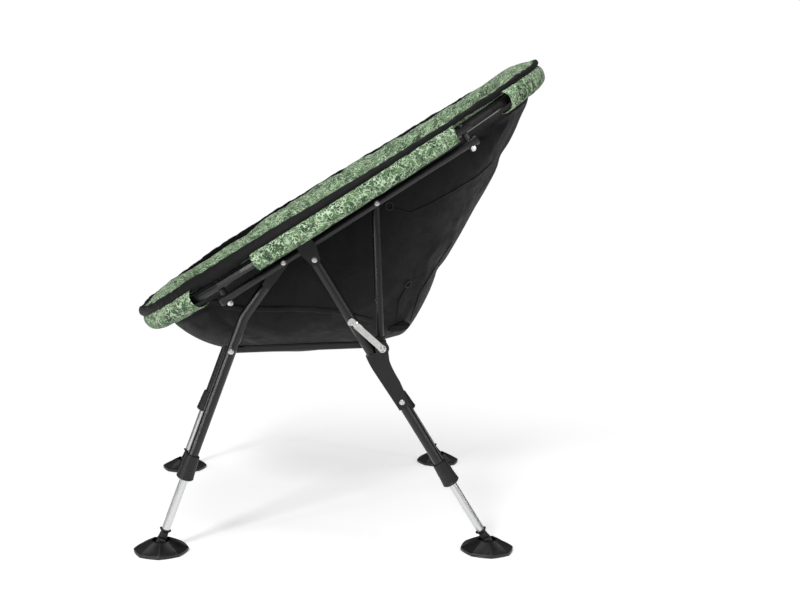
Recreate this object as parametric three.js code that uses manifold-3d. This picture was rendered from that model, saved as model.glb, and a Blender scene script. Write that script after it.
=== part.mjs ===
// Folding fishing chair: a padded bucket seat slung in a rim tube, on telescopic legs that fold flat.
// Millimetres. +Z is up, the sitter faces -Y, and +X is the sitter's left.
import * as THREE from 'three';
import { mergeVertices } from 'three/addons/utils/BufferGeometryUtils.js';
import Module from 'manifold-3d';

const wasm = await Module();
wasm.setup();

// Clearances
const gap = 0.3;
const boreGap = 0.3;
const overrun = 5;
const weldReach = 0.001;

// Side layers, as distances from the middle plane
const railX = 312;
const frontLegX = 292.5;
const strutX = 295.5;
const braceX = 321;
const linkX = 278.5;

// Rail
const railRadius = 7.5;
const railRearRoom = 8.5;
const railPitch = THREE.MathUtils.degToRad(33.3);
const railFrontHeight = 481.9;
const railCapRadius = 9.5;
const railCapLength = 9;

// Four-bar side linkage, measured along the rail and down the front leg
const frontPivotAlong = 128.5;
const strutPivotAlong = 331.5;
const strutLength = 269;
const frontUpperLean = THREE.MathUtils.degToRad(34.5);
const frontBend = THREE.MathUtils.degToRad(14.9);
const pivotToBend = 127.8;
const bendToLink = 66.9;

// Legs
const legRadius = 10;
const legWall = 1.2;
const innerLegRadius = 8;
const innerLegWall = 1.3;
const frontTubeTop = 37;
const frontBendRadius = 60;
const tongueThickness = 12;
const frontCollarAlong = 210;
const frontInnerLegLength = 219.7;
const bracePivotAlong = 179.3;
const bracePivotDrop = 25.2;
const rearLegLean = THREE.MathUtils.degToRad(32.13);
const braceLength = 226;
const braceTopRise = 8;
const rearTubeTop = 258;
const rearCollarAlong = 454;
const rearInnerLegLength = 192;

// Twist collar
const collarLength = 48;
const collarTopRadius = 13.6;
const collarWaistRadius = 15.2;
const collarBottomRadius = 17.2;
const collarRibs = 4;
const collarRibDepth = 0.9;
const collarRibPitch = 5.6;
const collarGrip = 34;
const collarRound = 3;

// Foot and ankle
const footPivotHeight = 20;
const footRadius = 51;
const footRimHeight = 4.5;
const footHubRadius = 17;
const footHubHeight = 17;
const footRidges = 8;
const footRidgeHeight = 3.2;
const footScallop = 1.6;
const footSlot = 12.8;
const footEarRadius = 9.5;
const footPinRadius = 3;
const ankleTongue = 12;
const ankleEyeRadius = 7.6;
const ankleNeckRadius = 8.6;
const ankleLipRadius = 11.5;
const ankleLipAlong = 24.5;
const ankleLipThickness = 3.2;
const anklePlug = 24;

// Fasteners
const boltRadius = 3;
const boltHeadRadius = 5.5;
const boltHeadHeight = 3.2;
const nutRadius = 5.2;
const nutHeight = 3;

// Link bar and its end caps
const linkHeight = 14;
const linkThickness = 7;
const linkOverhang = 12;
const linkCapLength = 8;
const linkCapGrowth = 0.9;

// Strut and its end fitting
const strutRadius = 7.5;
const strutWall = 1.2;
const strutOverhang = 11;
const strutEndLobe = 12.4;
const strutSocketRadius = 10;
const strutSocketTop = 17;
const strutTubeStart = 6;

// Brace bracket
const bracketThickness = 2;
const bracketWidth = 32;
const bracketTop = 12.5;
const bracketSaddle = 2.2;
const bracketEyeRadius = 11;
const bracketStandoffRadius = 6;

// Knuckle, measured down the rear leg and square to it
const knuckleCheek = 2.7;
const knuckleMouth = 205;
const knuckleBottom = 325;
const knuckleFront = 15;
const knuckleFrontNose = 11.6;
const knuckleBottomFront = 12.2;
const knuckleBottomRear = 10.8;
const knuckleRearShoulder = 21;
const knuckleRearWaist = 17;
const knuckleShoulderAlong = 232;
const knuckleWaistAlong = 277;
const knuckleBossRadius = 13.2;
const knuckleFloor = 232;
const knuckleEdge = 1.2;
const knuckleBoltAlong = 313;
const recessWidth = 9;
const recessTop = 226;
const recessBottom = 290;
const recessFloor = 15.2;

// Hook latch and its pin
const latchPinAlong = 140;
const latchPinPerp = 1;
const latchThickness = 2.5;
const latchHalfWidth = 6;
const latchEyeRadius = 7;
const latchHead = 13.5;
const latchBeak = 9;
const latchTab = 22;
const latchTabRise = 7.5;
const latchTabThickness = 1.8;
const latchPlane = 336.4;
const latchPinRadius = 2.1;
const latchPinHead = 4.6;
const latchPinHeadHeight = 3;

// Seat rim, in the plane of the rails
const rimHeight = 27;
const rimRadius = 8;
const rimHalfWidth = 355;
const rimMiddle = 273.6;
const rimFrontReach = 439;
const rimRearReach = 498;
const rimFrontPower = 2.55;
const rimRearPower = 2.2;
const rimBoltHeadRadius = 6;
const rimNutRadius = 6.2;
const rimNutLength = 8.5;

// Seat fabric
const bowlHalfWidth = 262;
const bowlFrontReach = 408;
const bowlRearReach = 462;
const bowlDepth = 281;
const shellThickness = 4;
const coverGap = 1;
const hemInset = 18;
const hemHeight = 25;
const shelfHeight = 17;
const padThickness = 24;
const padCrown = 57;
const padEdgeHeight = 54;
const crownFall = 2.5;
const bindingHeight = 46.5;
const channelDepth = 5;
const sleeveRadius = 17.5;
const sleeveFrontRoom = 83;
const sleeveRearRoom = 15.5;
const pocketRadius = 25;
const pocketDrop = 5;
const pocketFront = -36;
const pocketRear = 648;
const crownInset = 50;
const endReach = 15;

const flat = (y, z) => new THREE.Vector2(y, z);

// A point given along and square to a line that is turned by an angle in the side plane
function turned(origin, angle, y, z) {
  return flat(y, z).rotateAround(flat(0, 0), angle).add(origin);
}

// Where two circles meet, on the rear side of the line from the first centre to the second
function circleMeet(a, radiusA, b, radiusB) {
  const line = b.clone().sub(a);
  const distance = line.length();
  const foot = (radiusA ** 2 - radiusB ** 2 + distance ** 2) / (2 * distance);
  const rise = Math.sqrt(radiusA ** 2 - foot ** 2);
  line.normalize();
  return a.clone().addScaledVector(line, foot).add(flat(line.y, -line.x).multiplyScalar(rise));
}

// Distance along the rail where the ring crosses above it, front or rear
function rimCrossing(reach, power) {
  return reach * (1 - (railX / rimHalfWidth) ** power) ** (1 / power);
}

const frontCrossing = rimMiddle - rimCrossing(rimFrontReach, rimFrontPower);
const rearCrossing = rimMiddle + rimCrossing(rimRearReach, rimRearPower);
const railLength = rearCrossing + railRearRoom;

// Pivots of the linkage
const railFront = flat(0, railFrontHeight);
const pivotA = turned(railFront, railPitch, frontPivotAlong, 0);
const pivotD = turned(railFront, railPitch, strutPivotAlong, 0);
const pivotE = turned(railFront, railPitch, bracePivotAlong, -bracePivotDrop);
const frontLowerLean = frontUpperLean - frontBend;
const bendPoint = turned(pivotA, -frontUpperLean, 0, -pivotToBend);
const pivotB = turned(bendPoint, -frontLowerLean, 0, -bendToLink);
const frontBarLength = pivotA.distanceTo(pivotB);
const railBarLength = strutPivotAlong - frontPivotAlong;
const linkLength = railBarLength + strutLength - frontBarLength;
const pivotC = circleMeet(pivotB, linkLength, pivotD, strutLength);
const linkAngle = Math.atan2(pivotC.y - pivotB.y, pivotC.x - pivotB.x);
const strutLean = Math.atan2(pivotC.x - pivotD.x, pivotD.y - pivotC.y);
const kneePoint = pivotC.clone().sub(pivotE).rotateAround(flat(0, 0), -rearLegLean);
const frontPivotToFoot = (pivotB.y - footPivotHeight) / Math.cos(frontLowerLean);
const rearPivotToFoot = (pivotE.y - footPivotHeight) / Math.cos(rearLegLean);

// Frames: each one is a group whose Y and Z lie in the side plane
function makeFrame(origin, angle) {
  const group = new THREE.Group();
  group.position.set(0, origin.x, origin.y);
  group.rotation.x = angle;
  return group;
}

const chair = new THREE.Group();
const seatFrame = makeFrame(railFront, railPitch);
const frontLegFrame = makeFrame(pivotB, -frontLowerLean);
const linkFrame = makeFrame(pivotB, linkAngle);
const strutFrame = makeFrame(pivotC, strutLean);
const rearLegFrame = makeFrame(pivotE, rearLegLean);
const frontFootPoint = turned(pivotB, -frontLowerLean, 0, -frontPivotToFoot);
const rearFootPoint = turned(pivotE, rearLegLean, 0, -rearPivotToFoot);
const frontFootFrame = makeFrame(frontFootPoint, 0);
const rearFootFrame = makeFrame(rearFootPoint, 0);
chair.add(seatFrame, frontLegFrame, linkFrame, strutFrame, rearLegFrame, frontFootFrame, rearFootFrame);

// Materials
const surface = (color, roughness, metalness) => ({ color, roughness, metalness });
const blackPaint = surface(0x1f2022, 0.45, 0.3);
const blackPlastic = surface(0x262728, 0.6, 0);
const aluminium = surface(0xd8d9da, 0.35, 1);
const zinc = surface(0xc4c6c8, 0.3, 1);
const rubber = surface(0x1b1b1c, 0.75, 0);
const blackFabric = surface(0x202122, 0.95, 0);
const greenFabric = surface(0x5b7a55, 0.95, 0);

// Solids
function weld(geometry) {
  const bare = geometry.clone();
  bare.deleteAttribute('normal');
  bare.deleteAttribute('uv');
  const merged = mergeVertices(bare, weldReach);
  const source = merged.index.array;
  const kept = [];
  for (let i = 0; i < source.length; i += 3) {
    const [a, b, c] = [source[i], source[i + 1], source[i + 2]];
    if (a !== b && b !== c && c !== a) kept.push(a, b, c);
  }
  merged.setIndex(kept);
  return merged;
}

function toSolid(geometry) {
  const welded = weld(geometry);
  const vertProperties = new Float32Array(welded.attributes.position.array);
  const triVerts = new Uint32Array(welded.index.array);
  return new wasm.Manifold(new wasm.Mesh({ numProp: 3, vertProperties, triVerts }));
}

function toGeometry(solid) {
  const mesh = solid.getMesh();
  const geometry = new THREE.BufferGeometry();
  geometry.setAttribute('position', new THREE.BufferAttribute(new Float32Array(mesh.vertProperties), 3));
  geometry.setIndex(Array.from(mesh.triVerts));
  return geometry;
}

function join(first, ...others) {
  return toGeometry(others.reduce((solid, other) => solid.add(toSolid(other)), toSolid(first)));
}

function cut(body, ...tools) {
  return toGeometry(tools.reduce((solid, tool) => solid.subtract(toSolid(tool)), toSolid(body)));
}

function mirrored(geometry) {
  const copy = geometry.index ? geometry.clone() : weld(geometry);
  copy.scale(-1, 1, 1);
  const index = copy.index.array;
  for (let i = 0; i < index.length; i += 3) {
    [index[i + 1], index[i + 2]] = [index[i + 2], index[i + 1]];
  }
  return copy;
}

function addPiece(frame, name, geometry, look) {
  const mesh = new THREE.Mesh(weld(geometry), new THREE.MeshStandardMaterial(look));
  mesh.name = name;
  frame.add(mesh);
}

// The same piece on the sitter's left and, mirrored, on the right
function addPair(frame, name, geometry, look) {
  const single = weld(geometry);
  addPiece(frame, `${name}_left`, single, look);
  addPiece(frame, `${name}_right`, mirrored(single), look);
}

// Outline in the side plane, extruded across it from one X to another
function sidePlate(shape, fromX, toX, curveSegments = 6, bevel = 0) {
  const geometry = new THREE.ExtrudeGeometry(shape, {
    depth: toX - fromX - 2 * bevel,
    steps: 1,
    curveSegments,
    bevelEnabled: bevel > 0,
    bevelSize: bevel,
    bevelThickness: bevel,
    bevelOffset: -bevel,
    bevelSegments: 1,
  });
  geometry.applyMatrix4(new THREE.Matrix4().set(0, 0, 1, 0, 1, 0, 0, 0, 0, 1, 0, 0, 0, 0, 0, 1));
  geometry.translate(fromX + bevel, 0, 0);
  return geometry;
}

// Round bar or bore across the side plane
function crossBar(y, z, radius, fromX, toX, segments = 12) {
  const bar = new THREE.CylinderGeometry(radius, radius, toX - fromX, segments);
  bar.rotateZ(Math.PI / 2);
  bar.translate((fromX + toX) / 2, y, z);
  return bar;
}

function box(fromX, toX, fromY, toY, fromZ, toZ) {
  const block = new THREE.BoxGeometry(toX - fromX, toY - fromY, toZ - fromZ);
  block.translate((fromX + toX) / 2, (fromY + toY) / 2, (fromZ + toZ) / 2);
  return block;
}

// Turned piece about the frame's Z axis: points are [radius, height] pairs from the bottom up
function lathe(points, segments, x = 0, y = 0) {
  const geometry = new THREE.LatheGeometry(points.map(([radius, z]) => flat(radius, z)), segments);
  geometry.rotateX(Math.PI / 2);
  geometry.translate(x, y, 0);
  return geometry;
}

// Turned piece across the side plane: points are [radius, x] pairs
function crossLathe(points, segments, y, z) {
  const geometry = new THREE.LatheGeometry(points.map(([radius, x]) => flat(radius, x)), segments);
  geometry.rotateZ(-Math.PI / 2);
  geometry.translate(0, y, z);
  return geometry;
}

// A path that puts its rings exactly at its stations
class StationPath extends THREE.Curve {
  constructor(stations) {
    super();
    this.stations = stations;
  }

  getPoint(t, target = new THREE.Vector3()) {
    const last = this.stations.length - 1;
    const place = Math.min(Math.max(t, 0), 1) * last;
    const first = Math.min(Math.floor(place), last - 1);
    return target.lerpVectors(this.stations[first], this.stations[first + 1], place - first);
  }

  getUtoTmapping(u) {
    return u;
  }
}

function ringSection(outer, inner) {
  const shape = new THREE.Shape().absarc(0, 0, outer, 0, 2 * Math.PI);
  if (inner) shape.holes.push(new THREE.Path().absarc(0, 0, inner, 0, 2 * Math.PI));
  return shape;
}

function sweep(section, stations, curveSegments) {
  return new THREE.ExtrudeGeometry(section, {
    steps: stations.length - 1,
    curveSegments,
    bevelEnabled: false,
    extrudePath: new StationPath(stations),
  });
}

function straightTube(x, fromZ, toZ, outer, inner, segments) {
  const stations = [new THREE.Vector3(x, 0, fromZ), new THREE.Vector3(x, 0, toZ)];
  return sweep(ringSection(outer, inner), stations, segments);
}

// Bolt across the side plane: round head outside, nut inside, both just clear of what they clamp
function crossBolt(y, z, insideX, outsideX) {
  const dome = boltHeadHeight / 3;
  return crossLathe([
    [0, insideX - gap - nutHeight],
    [nutRadius, insideX - gap - nutHeight],
    [nutRadius, insideX - gap],
    [boltRadius, insideX - gap],
    [boltRadius, outsideX + gap],
    [boltHeadRadius, outsideX + gap],
    [boltHeadRadius, outsideX + gap + dome],
    [boltHeadRadius * 0.6, outsideX + gap + boltHeadHeight],
    [0, outsideX + gap + boltHeadHeight],
  ], 8, y, z);
}

function boltBore(y, z, fromX, toX) {
  return crossBar(y, z, boltRadius + boreGap, fromX - overrun, toX + overrun, 8);
}

const cheekOuterX = braceX + legRadius + gap + knuckleCheek + gap;
const cheekInnerX = braceX - legRadius - gap - knuckleCheek - gap;

// Rim tube: two halves of one ring, butted at its widest point
function rimPoint(angle, inset = 0, height = rimHeight) {
  const front = Math.sin(angle) < 0;
  const power = front ? rimFrontPower : rimRearPower;
  const reach = (front ? rimFrontReach : rimRearReach) - inset;
  const across = Math.sign(Math.cos(angle)) * Math.abs(Math.cos(angle)) ** (2 / power);
  const along = Math.sign(Math.sin(angle)) * Math.abs(Math.sin(angle)) ** (2 / power);
  return new THREE.Vector3((rimHalfWidth - inset) * across, rimMiddle + reach * along, height);
}

// Stations of the ring between two places, spread evenly along its length
function rimStations(fromAngle, toAngle, count, height = rimHeight) {
  const fine = 400;
  const raw = Array.from({ length: fine + 1 },
    (_, i) => rimPoint(THREE.MathUtils.lerp(fromAngle, toAngle, i / fine), 0, height));
  const lengths = [0];
  for (let i = 1; i <= fine; i += 1) lengths.push(lengths[i - 1] + raw[i].distanceTo(raw[i - 1]));
  const total = lengths[fine];
  return Array.from({ length: count + 1 }, (_, i) => {
    const wanted = total * i / count;
    const next = Math.max(1, lengths.findIndex((length) => length >= wanted));
    const share = (wanted - lengths[next - 1]) / (lengths[next] - lengths[next - 1]);
    return raw[next - 1].clone().lerp(raw[next], THREE.MathUtils.clamp(share, 0, 1));
  });
}

function rimBoltSolid(along) {
  const top = rimHeight + rimRadius;
  const shoulderRadius = boltRadius * 2;
  return lathe([
    [0, -railRadius - gap - rimNutLength],
    [boltRadius, -railRadius - gap - rimNutLength],
    [rimNutRadius, -railRadius - gap - rimNutLength * 0.6],
    [rimNutRadius, -railRadius - gap],
    [boltRadius, -railRadius - gap],
    [boltRadius, railRadius + gap],
    [shoulderRadius, railRadius + gap],
    [shoulderRadius, rimHeight - rimRadius - gap],
    [boltRadius, rimHeight - rimRadius - gap],
    [boltRadius, top + gap],
    [rimBoltHeadRadius, top + gap],
    [rimBoltHeadRadius * 0.6, top + gap + boltHeadHeight],
    [0, top + gap + boltHeadHeight],
  ], 8, railX, along);
}

function rimBore(x, along) {
  const bore = new THREE.CylinderGeometry(boltRadius + boreGap, boltRadius + boreGap,
    2 * (rimHeight + railRadius + overrun), 8);
  bore.rotateX(Math.PI / 2);
  bore.translate(x, along, 0);
  return bore;
}

const rimSteps = 24;
const rimSides = 4;
const butt = gap / (2 * rimHalfWidth);
const rimFrontStations = rimStations(-butt, -Math.PI + butt, rimSteps);
const rimRearStations = rimStations(butt, Math.PI - butt, rimSteps);

// The stretch of a run of stations whose distance along the rail lies between two values
function clipped(stations, fromY, toY) {
  const inside = (point) => point.y >= fromY && point.y <= toY;
  const kept = [];
  for (let i = 0; i < stations.length; i += 1) {
    const here = stations[i];
    const before = stations[i - 1];
    if (before && inside(before) !== inside(here)) {
      const limit = Math.max(before.y, here.y) > toY ? toY : fromY;
      kept.push(before.clone().lerp(here, (limit - before.y) / (here.y - before.y)));
    }
    if (inside(here)) kept.push(here);
  }
  return kept;
}

function buildRim() {
  const halves = [
    ['rim_front', rimFrontStations, frontCrossing],
    ['rim_rear', rimRearStations, rearCrossing],
  ];
  for (const [name, stations, along] of halves) {
    const tube = sweep(ringSection(rimRadius, 0), stations, rimSides);
    addPiece(seatFrame, name, cut(tube, rimBore(railX, along), rimBore(-railX, along)), blackPaint);
  }
  addPair(seatFrame, 'rim_bolt_front', rimBoltSolid(frontCrossing), zinc);
  addPair(seatFrame, 'rim_bolt_rear', rimBoltSolid(rearCrossing), zinc);
}

// Rail: a bar between flared, domed end caps
function buildRails() {
  const dome = railCapLength / 3;
  const profile = [
    [0, -railCapLength],
    [railCapRadius * 0.7, -railCapLength],
    [railCapRadius, -railCapLength + dome],
    [railCapRadius, 0],
    [railRadius, 0],
    [railRadius, railLength],
    [railCapRadius, railLength],
    [railCapRadius, railLength + railCapLength - dome],
    [railCapRadius * 0.7, railLength + railCapLength],
    [0, railLength + railCapLength],
  ];
  const bar = lathe(profile, 12);
  bar.rotateX(-Math.PI / 2);
  bar.translate(railX, 0, 0);
  const rail = cut(
    bar,
    boltBore(frontPivotAlong, 0, railX - railRadius, railX + railRadius),
    boltBore(strutPivotAlong, 0, railX - railRadius, railX + railRadius),
    rimBore(railX, frontCrossing),
    rimBore(railX, rearCrossing),
  );
  addPair(seatFrame, 'rail', rail, blackPaint);
}

// Bracket under the rail that carries the brace between two plates
function buildBracket() {
  const innerX = braceX - legRadius - gap - bracketThickness;
  const outerX = braceX + legRadius + gap;
  const y = bracePivotAlong;
  const z = -bracePivotDrop;
  const half = bracketWidth / 2;
  const shoulder = -railRadius;
  const shield = new THREE.Shape()
    .moveTo(y - half, bracketTop)
    .lineTo(y + half, bracketTop)
    .lineTo(y + half, shoulder)
    .lineTo(y + bracketEyeRadius, z)
    .absarc(y, z, bracketEyeRadius, 0, -Math.PI, true)
    .lineTo(y - half, shoulder);
  const saddleTop = -railRadius - gap;
  const inner = new THREE.Shape()
    .moveTo(y - half, saddleTop)
    .lineTo(y + half, saddleTop)
    .lineTo(y + bracketEyeRadius, z)
    .absarc(y, z, bracketEyeRadius, 0, -Math.PI, true);
  const saddle = box(innerX, outerX + bracketThickness, y - half, y + half,
    saddleTop - bracketSaddle, saddleTop);
  const bracket = join(
    sidePlate(shield, outerX, outerX + bracketThickness),
    sidePlate(inner, innerX, innerX + bracketThickness),
    saddle,
    crossBar(y, 0, bracketStandoffRadius, railX + railRadius + gap, outerX + bracketThickness / 2, 14),
  );
  addPair(seatFrame, 'brace_bracket', cut(bracket, boltBore(y, z, innerX, outerX)), blackPaint);
  addPair(seatFrame, 'brace_bolt', crossBolt(y, z, innerX, outerX + bracketThickness), zinc);
}

// Front leg: a bent tube, with a tongue at its top that hangs on the rail's inner side
function buildFrontLeg() {
  const bendZ = bendToLink;
  const reach = frontBendRadius * Math.tan(frontBend / 2);
  const arcSteps = 2;
  const centreY = frontBendRadius;
  const stations = [new THREE.Vector3(frontLegX, 0, -frontCollarAlong - collarGrip)];
  for (let i = 0; i <= arcSteps; i += 1) {
    const angle = frontBend * i / arcSteps;
    stations.push(new THREE.Vector3(
      frontLegX,
      centreY - frontBendRadius * Math.cos(angle),
      bendZ - reach + frontBendRadius * Math.sin(angle),
    ));
  }
  const upper = pivotToBend - frontTubeTop;
  stations.push(new THREE.Vector3(
    frontLegX, upper * Math.sin(frontBend), bendZ + upper * Math.cos(frontBend)));
  const tube = sweep(ringSection(legRadius, legRadius - legWall), stations, 7);

  const eyeY = pivotToBend * Math.sin(frontBend);
  const eyeZ = bendZ + pivotToBend * Math.cos(frontBend);
  const tongueOuterX = railX - railRadius - gap;
  const tongueInnerX = tongueOuterX - tongueThickness;
  const seated = frontTubeTop + 2 * legRadius;
  const tongue = new THREE.Shape()
    .moveTo(-legRadius * 0.8, -seated)
    .lineTo(legRadius * 0.8, -seated)
    .lineTo(legRadius, -frontTubeTop)
    .absarc(0, 0, legRadius, 0, Math.PI, false)
    .lineTo(-legRadius, -frontTubeTop);
  const blade = sidePlate(tongue, tongueInnerX, tongueOuterX, 6, legWall / 2);
  blade.rotateX(-frontBend);
  blade.translate(0, eyeY, eyeZ);
  const body = join(tube, blade);
  const leg = cut(
    body,
    boltBore(eyeY, eyeZ, tongueInnerX, tongueOuterX),
    boltBore(0, 0, frontLegX - legRadius, frontLegX + legRadius),
  );
  addPair(frontLegFrame, 'front_leg', leg, blackPaint);
  addPair(seatFrame, 'front_pivot_bolt',
    crossBolt(frontPivotAlong, 0, tongueInnerX, railX + railRadius), zinc);
  addPair(frontLegFrame, 'link_bolt',
    crossBolt(0, 0, linkX - linkThickness / 2, frontLegX + legRadius), zinc);
}

function capsule(width, height) {
  const radius = width / 2;
  const straight = height / 2 - radius;
  return new THREE.Shape()
    .absarc(0, straight, radius, 0, Math.PI, false)
    .absarc(0, -straight, radius, Math.PI, 2 * Math.PI, false);
}

// Link bar: flat oval tube with a cap on each end
function buildLink() {
  const length = linkLength + 2 * linkOverhang;
  const bar = new THREE.ExtrudeGeometry(capsule(linkThickness, linkHeight),
    { depth: length, steps: 1, curveSegments: 4, bevelEnabled: false });
  bar.rotateX(-Math.PI / 2);
  bar.translate(linkX, -linkOverhang, 0);
  const grown = 2 * linkCapGrowth;
  const capShape = capsule(linkThickness, linkHeight + grown);
  const pieces = [bar];
  for (const start of [-linkOverhang - linkCapGrowth, linkLength + linkOverhang - linkCapLength]) {
    const cap = new THREE.ExtrudeGeometry(capShape,
      { depth: linkCapLength + linkCapGrowth, steps: 1, curveSegments: 4, bevelEnabled: false });
    cap.rotateX(-Math.PI / 2);
    cap.translate(linkX, start, 0);
    pieces.push(cap);
  }
  const innerX = linkX - linkThickness / 2;
  const outerX = linkX + linkThickness / 2;
  const link = cut(join(...pieces), boltBore(0, 0, innerX, outerX), boltBore(linkLength, 0, innerX, outerX));
  addPair(linkFrame, 'link_bar', link, blackPaint);
}

// Strut from the rail down to the knee, with the fitting that the knuckle turns on
function buildStrut() {
  const tube = straightTube(strutX, strutTubeStart, strutLength + strutOverhang,
    strutRadius, strutRadius - strutWall, 8);
  const innerX = strutX - strutRadius;
  const outerX = strutX + strutRadius;
  addPair(strutFrame, 'strut', cut(tube, boltBore(0, strutLength, innerX, outerX)), blackPaint);
  addPair(seatFrame, 'strut_bolt',
    crossBolt(strutPivotAlong, 0, innerX, railX + railRadius), zinc);

  const lobeOuterX = cheekInnerX - gap;
  const lobe = crossBar(0, 0, strutEndLobe, innerX, lobeOuterX, 18);
  const socket = straightTube(strutX, -strutTubeStart, strutSocketTop, strutSocketRadius, 0, 8);
  const pocket = straightTube(strutX, strutTubeStart - gap, strutSocketTop + overrun,
    strutRadius + boreGap, 0, 8);
  const shave = box(innerX - overrun, innerX, -strutEndLobe, strutEndLobe,
    -strutEndLobe, nutRadius + boreGap);
  const fitting = cut(join(lobe, socket), shave, pocket, boltBore(0, 0, innerX, lobeOuterX));
  addPair(strutFrame, 'strut_end', fitting, blackPlastic);
}

// Brace: the rear leg's upper tube, with the latch pin riveted in its outer wall
function buildBrace() {
  const tube = straightTube(braceX, -braceLength, braceTopRise, legRadius, legRadius - legWall, 7);
  const outerX = braceX + legRadius;
  const pinBore = crossBar(latchPinPerp, -latchPinAlong, latchPinRadius + boreGap,
    braceX, outerX + overrun, 8);
  const brace = cut(tube, boltBore(0, 0, braceX - legRadius, outerX), pinBore);
  addPair(rearLegFrame, 'brace', brace, blackPaint);

  const boreRadius = legRadius - legWall;
  const underHead = latchPlane + latchThickness / 2 + gap;
  const collar = latchPinRadius * 1.6;
  const hollow = boreRadius - Math.sqrt(boreRadius ** 2 - (collar + latchPinPerp) ** 2);
  const seat = outerX - legWall - hollow;
  const pin = crossLathe([
    [0, seat - gap - legWall],
    [collar, seat - gap - legWall],
    [collar, seat - gap],
    [latchPinRadius, seat - gap],
    [latchPinRadius, outerX + gap],
    [collar, outerX + gap],
    [collar, latchPlane - latchThickness / 2 - gap],
    [latchPinRadius, latchPlane - latchThickness / 2 - gap],
    [latchPinRadius, underHead],
    [latchPinHead, underHead],
    [latchPinHead, underHead + latchPinHeadHeight / 3],
    [latchPinHead * 0.5, underHead + latchPinHeadHeight],
    [0, underHead + latchPinHeadHeight],
  ], 8, latchPinPerp, -latchPinAlong);
  addPair(rearLegFrame, 'latch_pin', pin, zinc);
}

// Knuckle: a cradle, open to the front and the top, for the brace's end, and a socket for the lower leg
function buildKnuckle() {
  const kneeY = kneePoint.x;
  const kneeZ = kneePoint.y;
  const outline = new THREE.Shape()
    .moveTo(-knuckleFrontNose, -knuckleMouth)
    .quadraticCurveTo(-knuckleFront, -knuckleMouth - knuckleCheek, -knuckleFront, -knuckleShoulderAlong)
    .lineTo(-knuckleBottomFront, -knuckleBottom)
    .lineTo(knuckleBottomRear, -knuckleBottom)
    .lineTo(knuckleRearWaist, -knuckleWaistAlong)
    .quadraticCurveTo(knuckleRearWaist, -knuckleShoulderAlong - knuckleBossRadius,
      knuckleRearShoulder, -knuckleShoulderAlong)
    .absarc(kneeY, kneeZ, knuckleBossRadius, -Math.PI / 3, Math.PI, false);
  const block = sidePlate(outline, cheekInnerX, cheekOuterX, 5, knuckleEdge);
  const cradleHalf = legRadius + gap * 2;
  const cradle = box(braceX - cradleHalf, braceX + cradleHalf, -legRadius - knuckleFront - overrun,
    cradleHalf, -knuckleFloor, -knuckleMouth + 4 * legRadius);
  const socket = straightTube(braceX, -knuckleBottom - overrun, -rearTubeTop + gap,
    legRadius + boreGap, 0, 7);
  const recess = capsule(recessWidth, recessBottom - recessTop);
  const groove = new THREE.ExtrudeGeometry(recess,
    { depth: legRadius, steps: 1, curveSegments: 6, bevelEnabled: false });
  groove.rotateX(-Math.PI / 2);
  groove.translate(braceX, recessFloor, -(recessTop + recessBottom) / 2);
  const knuckle = cut(
    block,
    cradle,
    socket,
    groove,
    boltBore(kneeY, kneeZ, cheekInnerX, cheekOuterX),
    boltBore(0, -knuckleBoltAlong, cheekInnerX, cheekOuterX),
  );
  addPair(rearLegFrame, 'knuckle', knuckle, blackPlastic);
  addPair(rearLegFrame, 'knuckle_bolt',
    crossBolt(0, -knuckleBoltAlong, cheekInnerX, cheekOuterX), zinc);

  const tube = straightTube(braceX, -rearCollarAlong - collarGrip, -rearTubeTop,
    legRadius, legRadius - legWall, 7);
  const tubeBore = boltBore(0, -knuckleBoltAlong, braceX - legRadius, braceX + legRadius);
  addPair(rearLegFrame, 'rear_leg', cut(tube, tubeBore), blackPaint);
}

// Hook latch on the knee bolt: a flat bar whose notch drops over the pin, with a folded thumb tab
function buildLatch() {
  const kneeY = kneePoint.x;
  const kneeZ = kneePoint.y;
  const toPin = flat(latchPinPerp, -latchPinAlong).sub(kneePoint);
  const reach = toPin.length();
  const turn = Math.atan2(-toPin.x, toPin.y);
  const notch = latchPinRadius + gap;
  const half = latchHalfWidth;
  const outline = new THREE.Shape()
    .moveTo(latchEyeRadius, 0)
    .lineTo(half, latchEyeRadius)
    .lineTo(half, reach + latchHead * 0.5)
    .quadraticCurveTo(half, reach + latchHead, 0, reach + latchHead)
    .quadraticCurveTo(-latchBeak, reach + latchHead, -latchBeak, reach + latchHead * 0.55)
    .lineTo(-latchBeak * 0.7, reach + notch)
    .lineTo(0, reach + notch)
    .absarc(0, reach, notch, Math.PI / 2, -Math.PI / 2, true)
    .lineTo(-half, reach - notch)
    .lineTo(-half, latchEyeRadius)
    .lineTo(-latchEyeRadius, 0)
    .absarc(0, 0, latchEyeRadius, Math.PI, 2 * Math.PI, false);
  const plate = sidePlate(outline, latchPlane - latchThickness / 2, latchPlane + latchThickness / 2, 6);
  const tabOutline = new THREE.Shape()
    .moveTo(0, 0)
    .quadraticCurveTo(latchTabRise * 2, latchTab / 2, 0, latchTab);
  const tab = new THREE.ExtrudeGeometry(tabOutline,
    { depth: latchTabThickness, steps: 1, curveSegments: 8, bevelEnabled: false });
  tab.rotateX(Math.PI / 2);
  tab.translate(latchPlane, half + latchTabThickness * 0.4, reach - latchTab * 0.7);
  const latch = cut(join(plate, tab), boltBore(0, 0, latchPlane, latchPlane));
  latch.rotateX(turn);
  latch.translate(0, kneeY, kneeZ);
  addPair(rearLegFrame, 'latch', latch, zinc);
  const innerX = linkX + linkThickness / 2 + gap + nutHeight + gap;
  const screw = crossBolt(kneeY, kneeZ, Math.max(innerX, strutX - strutRadius),
    latchPlane + latchThickness / 2);
  addPair(rearLegFrame, 'latch_screw', screw, zinc);
}

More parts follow.
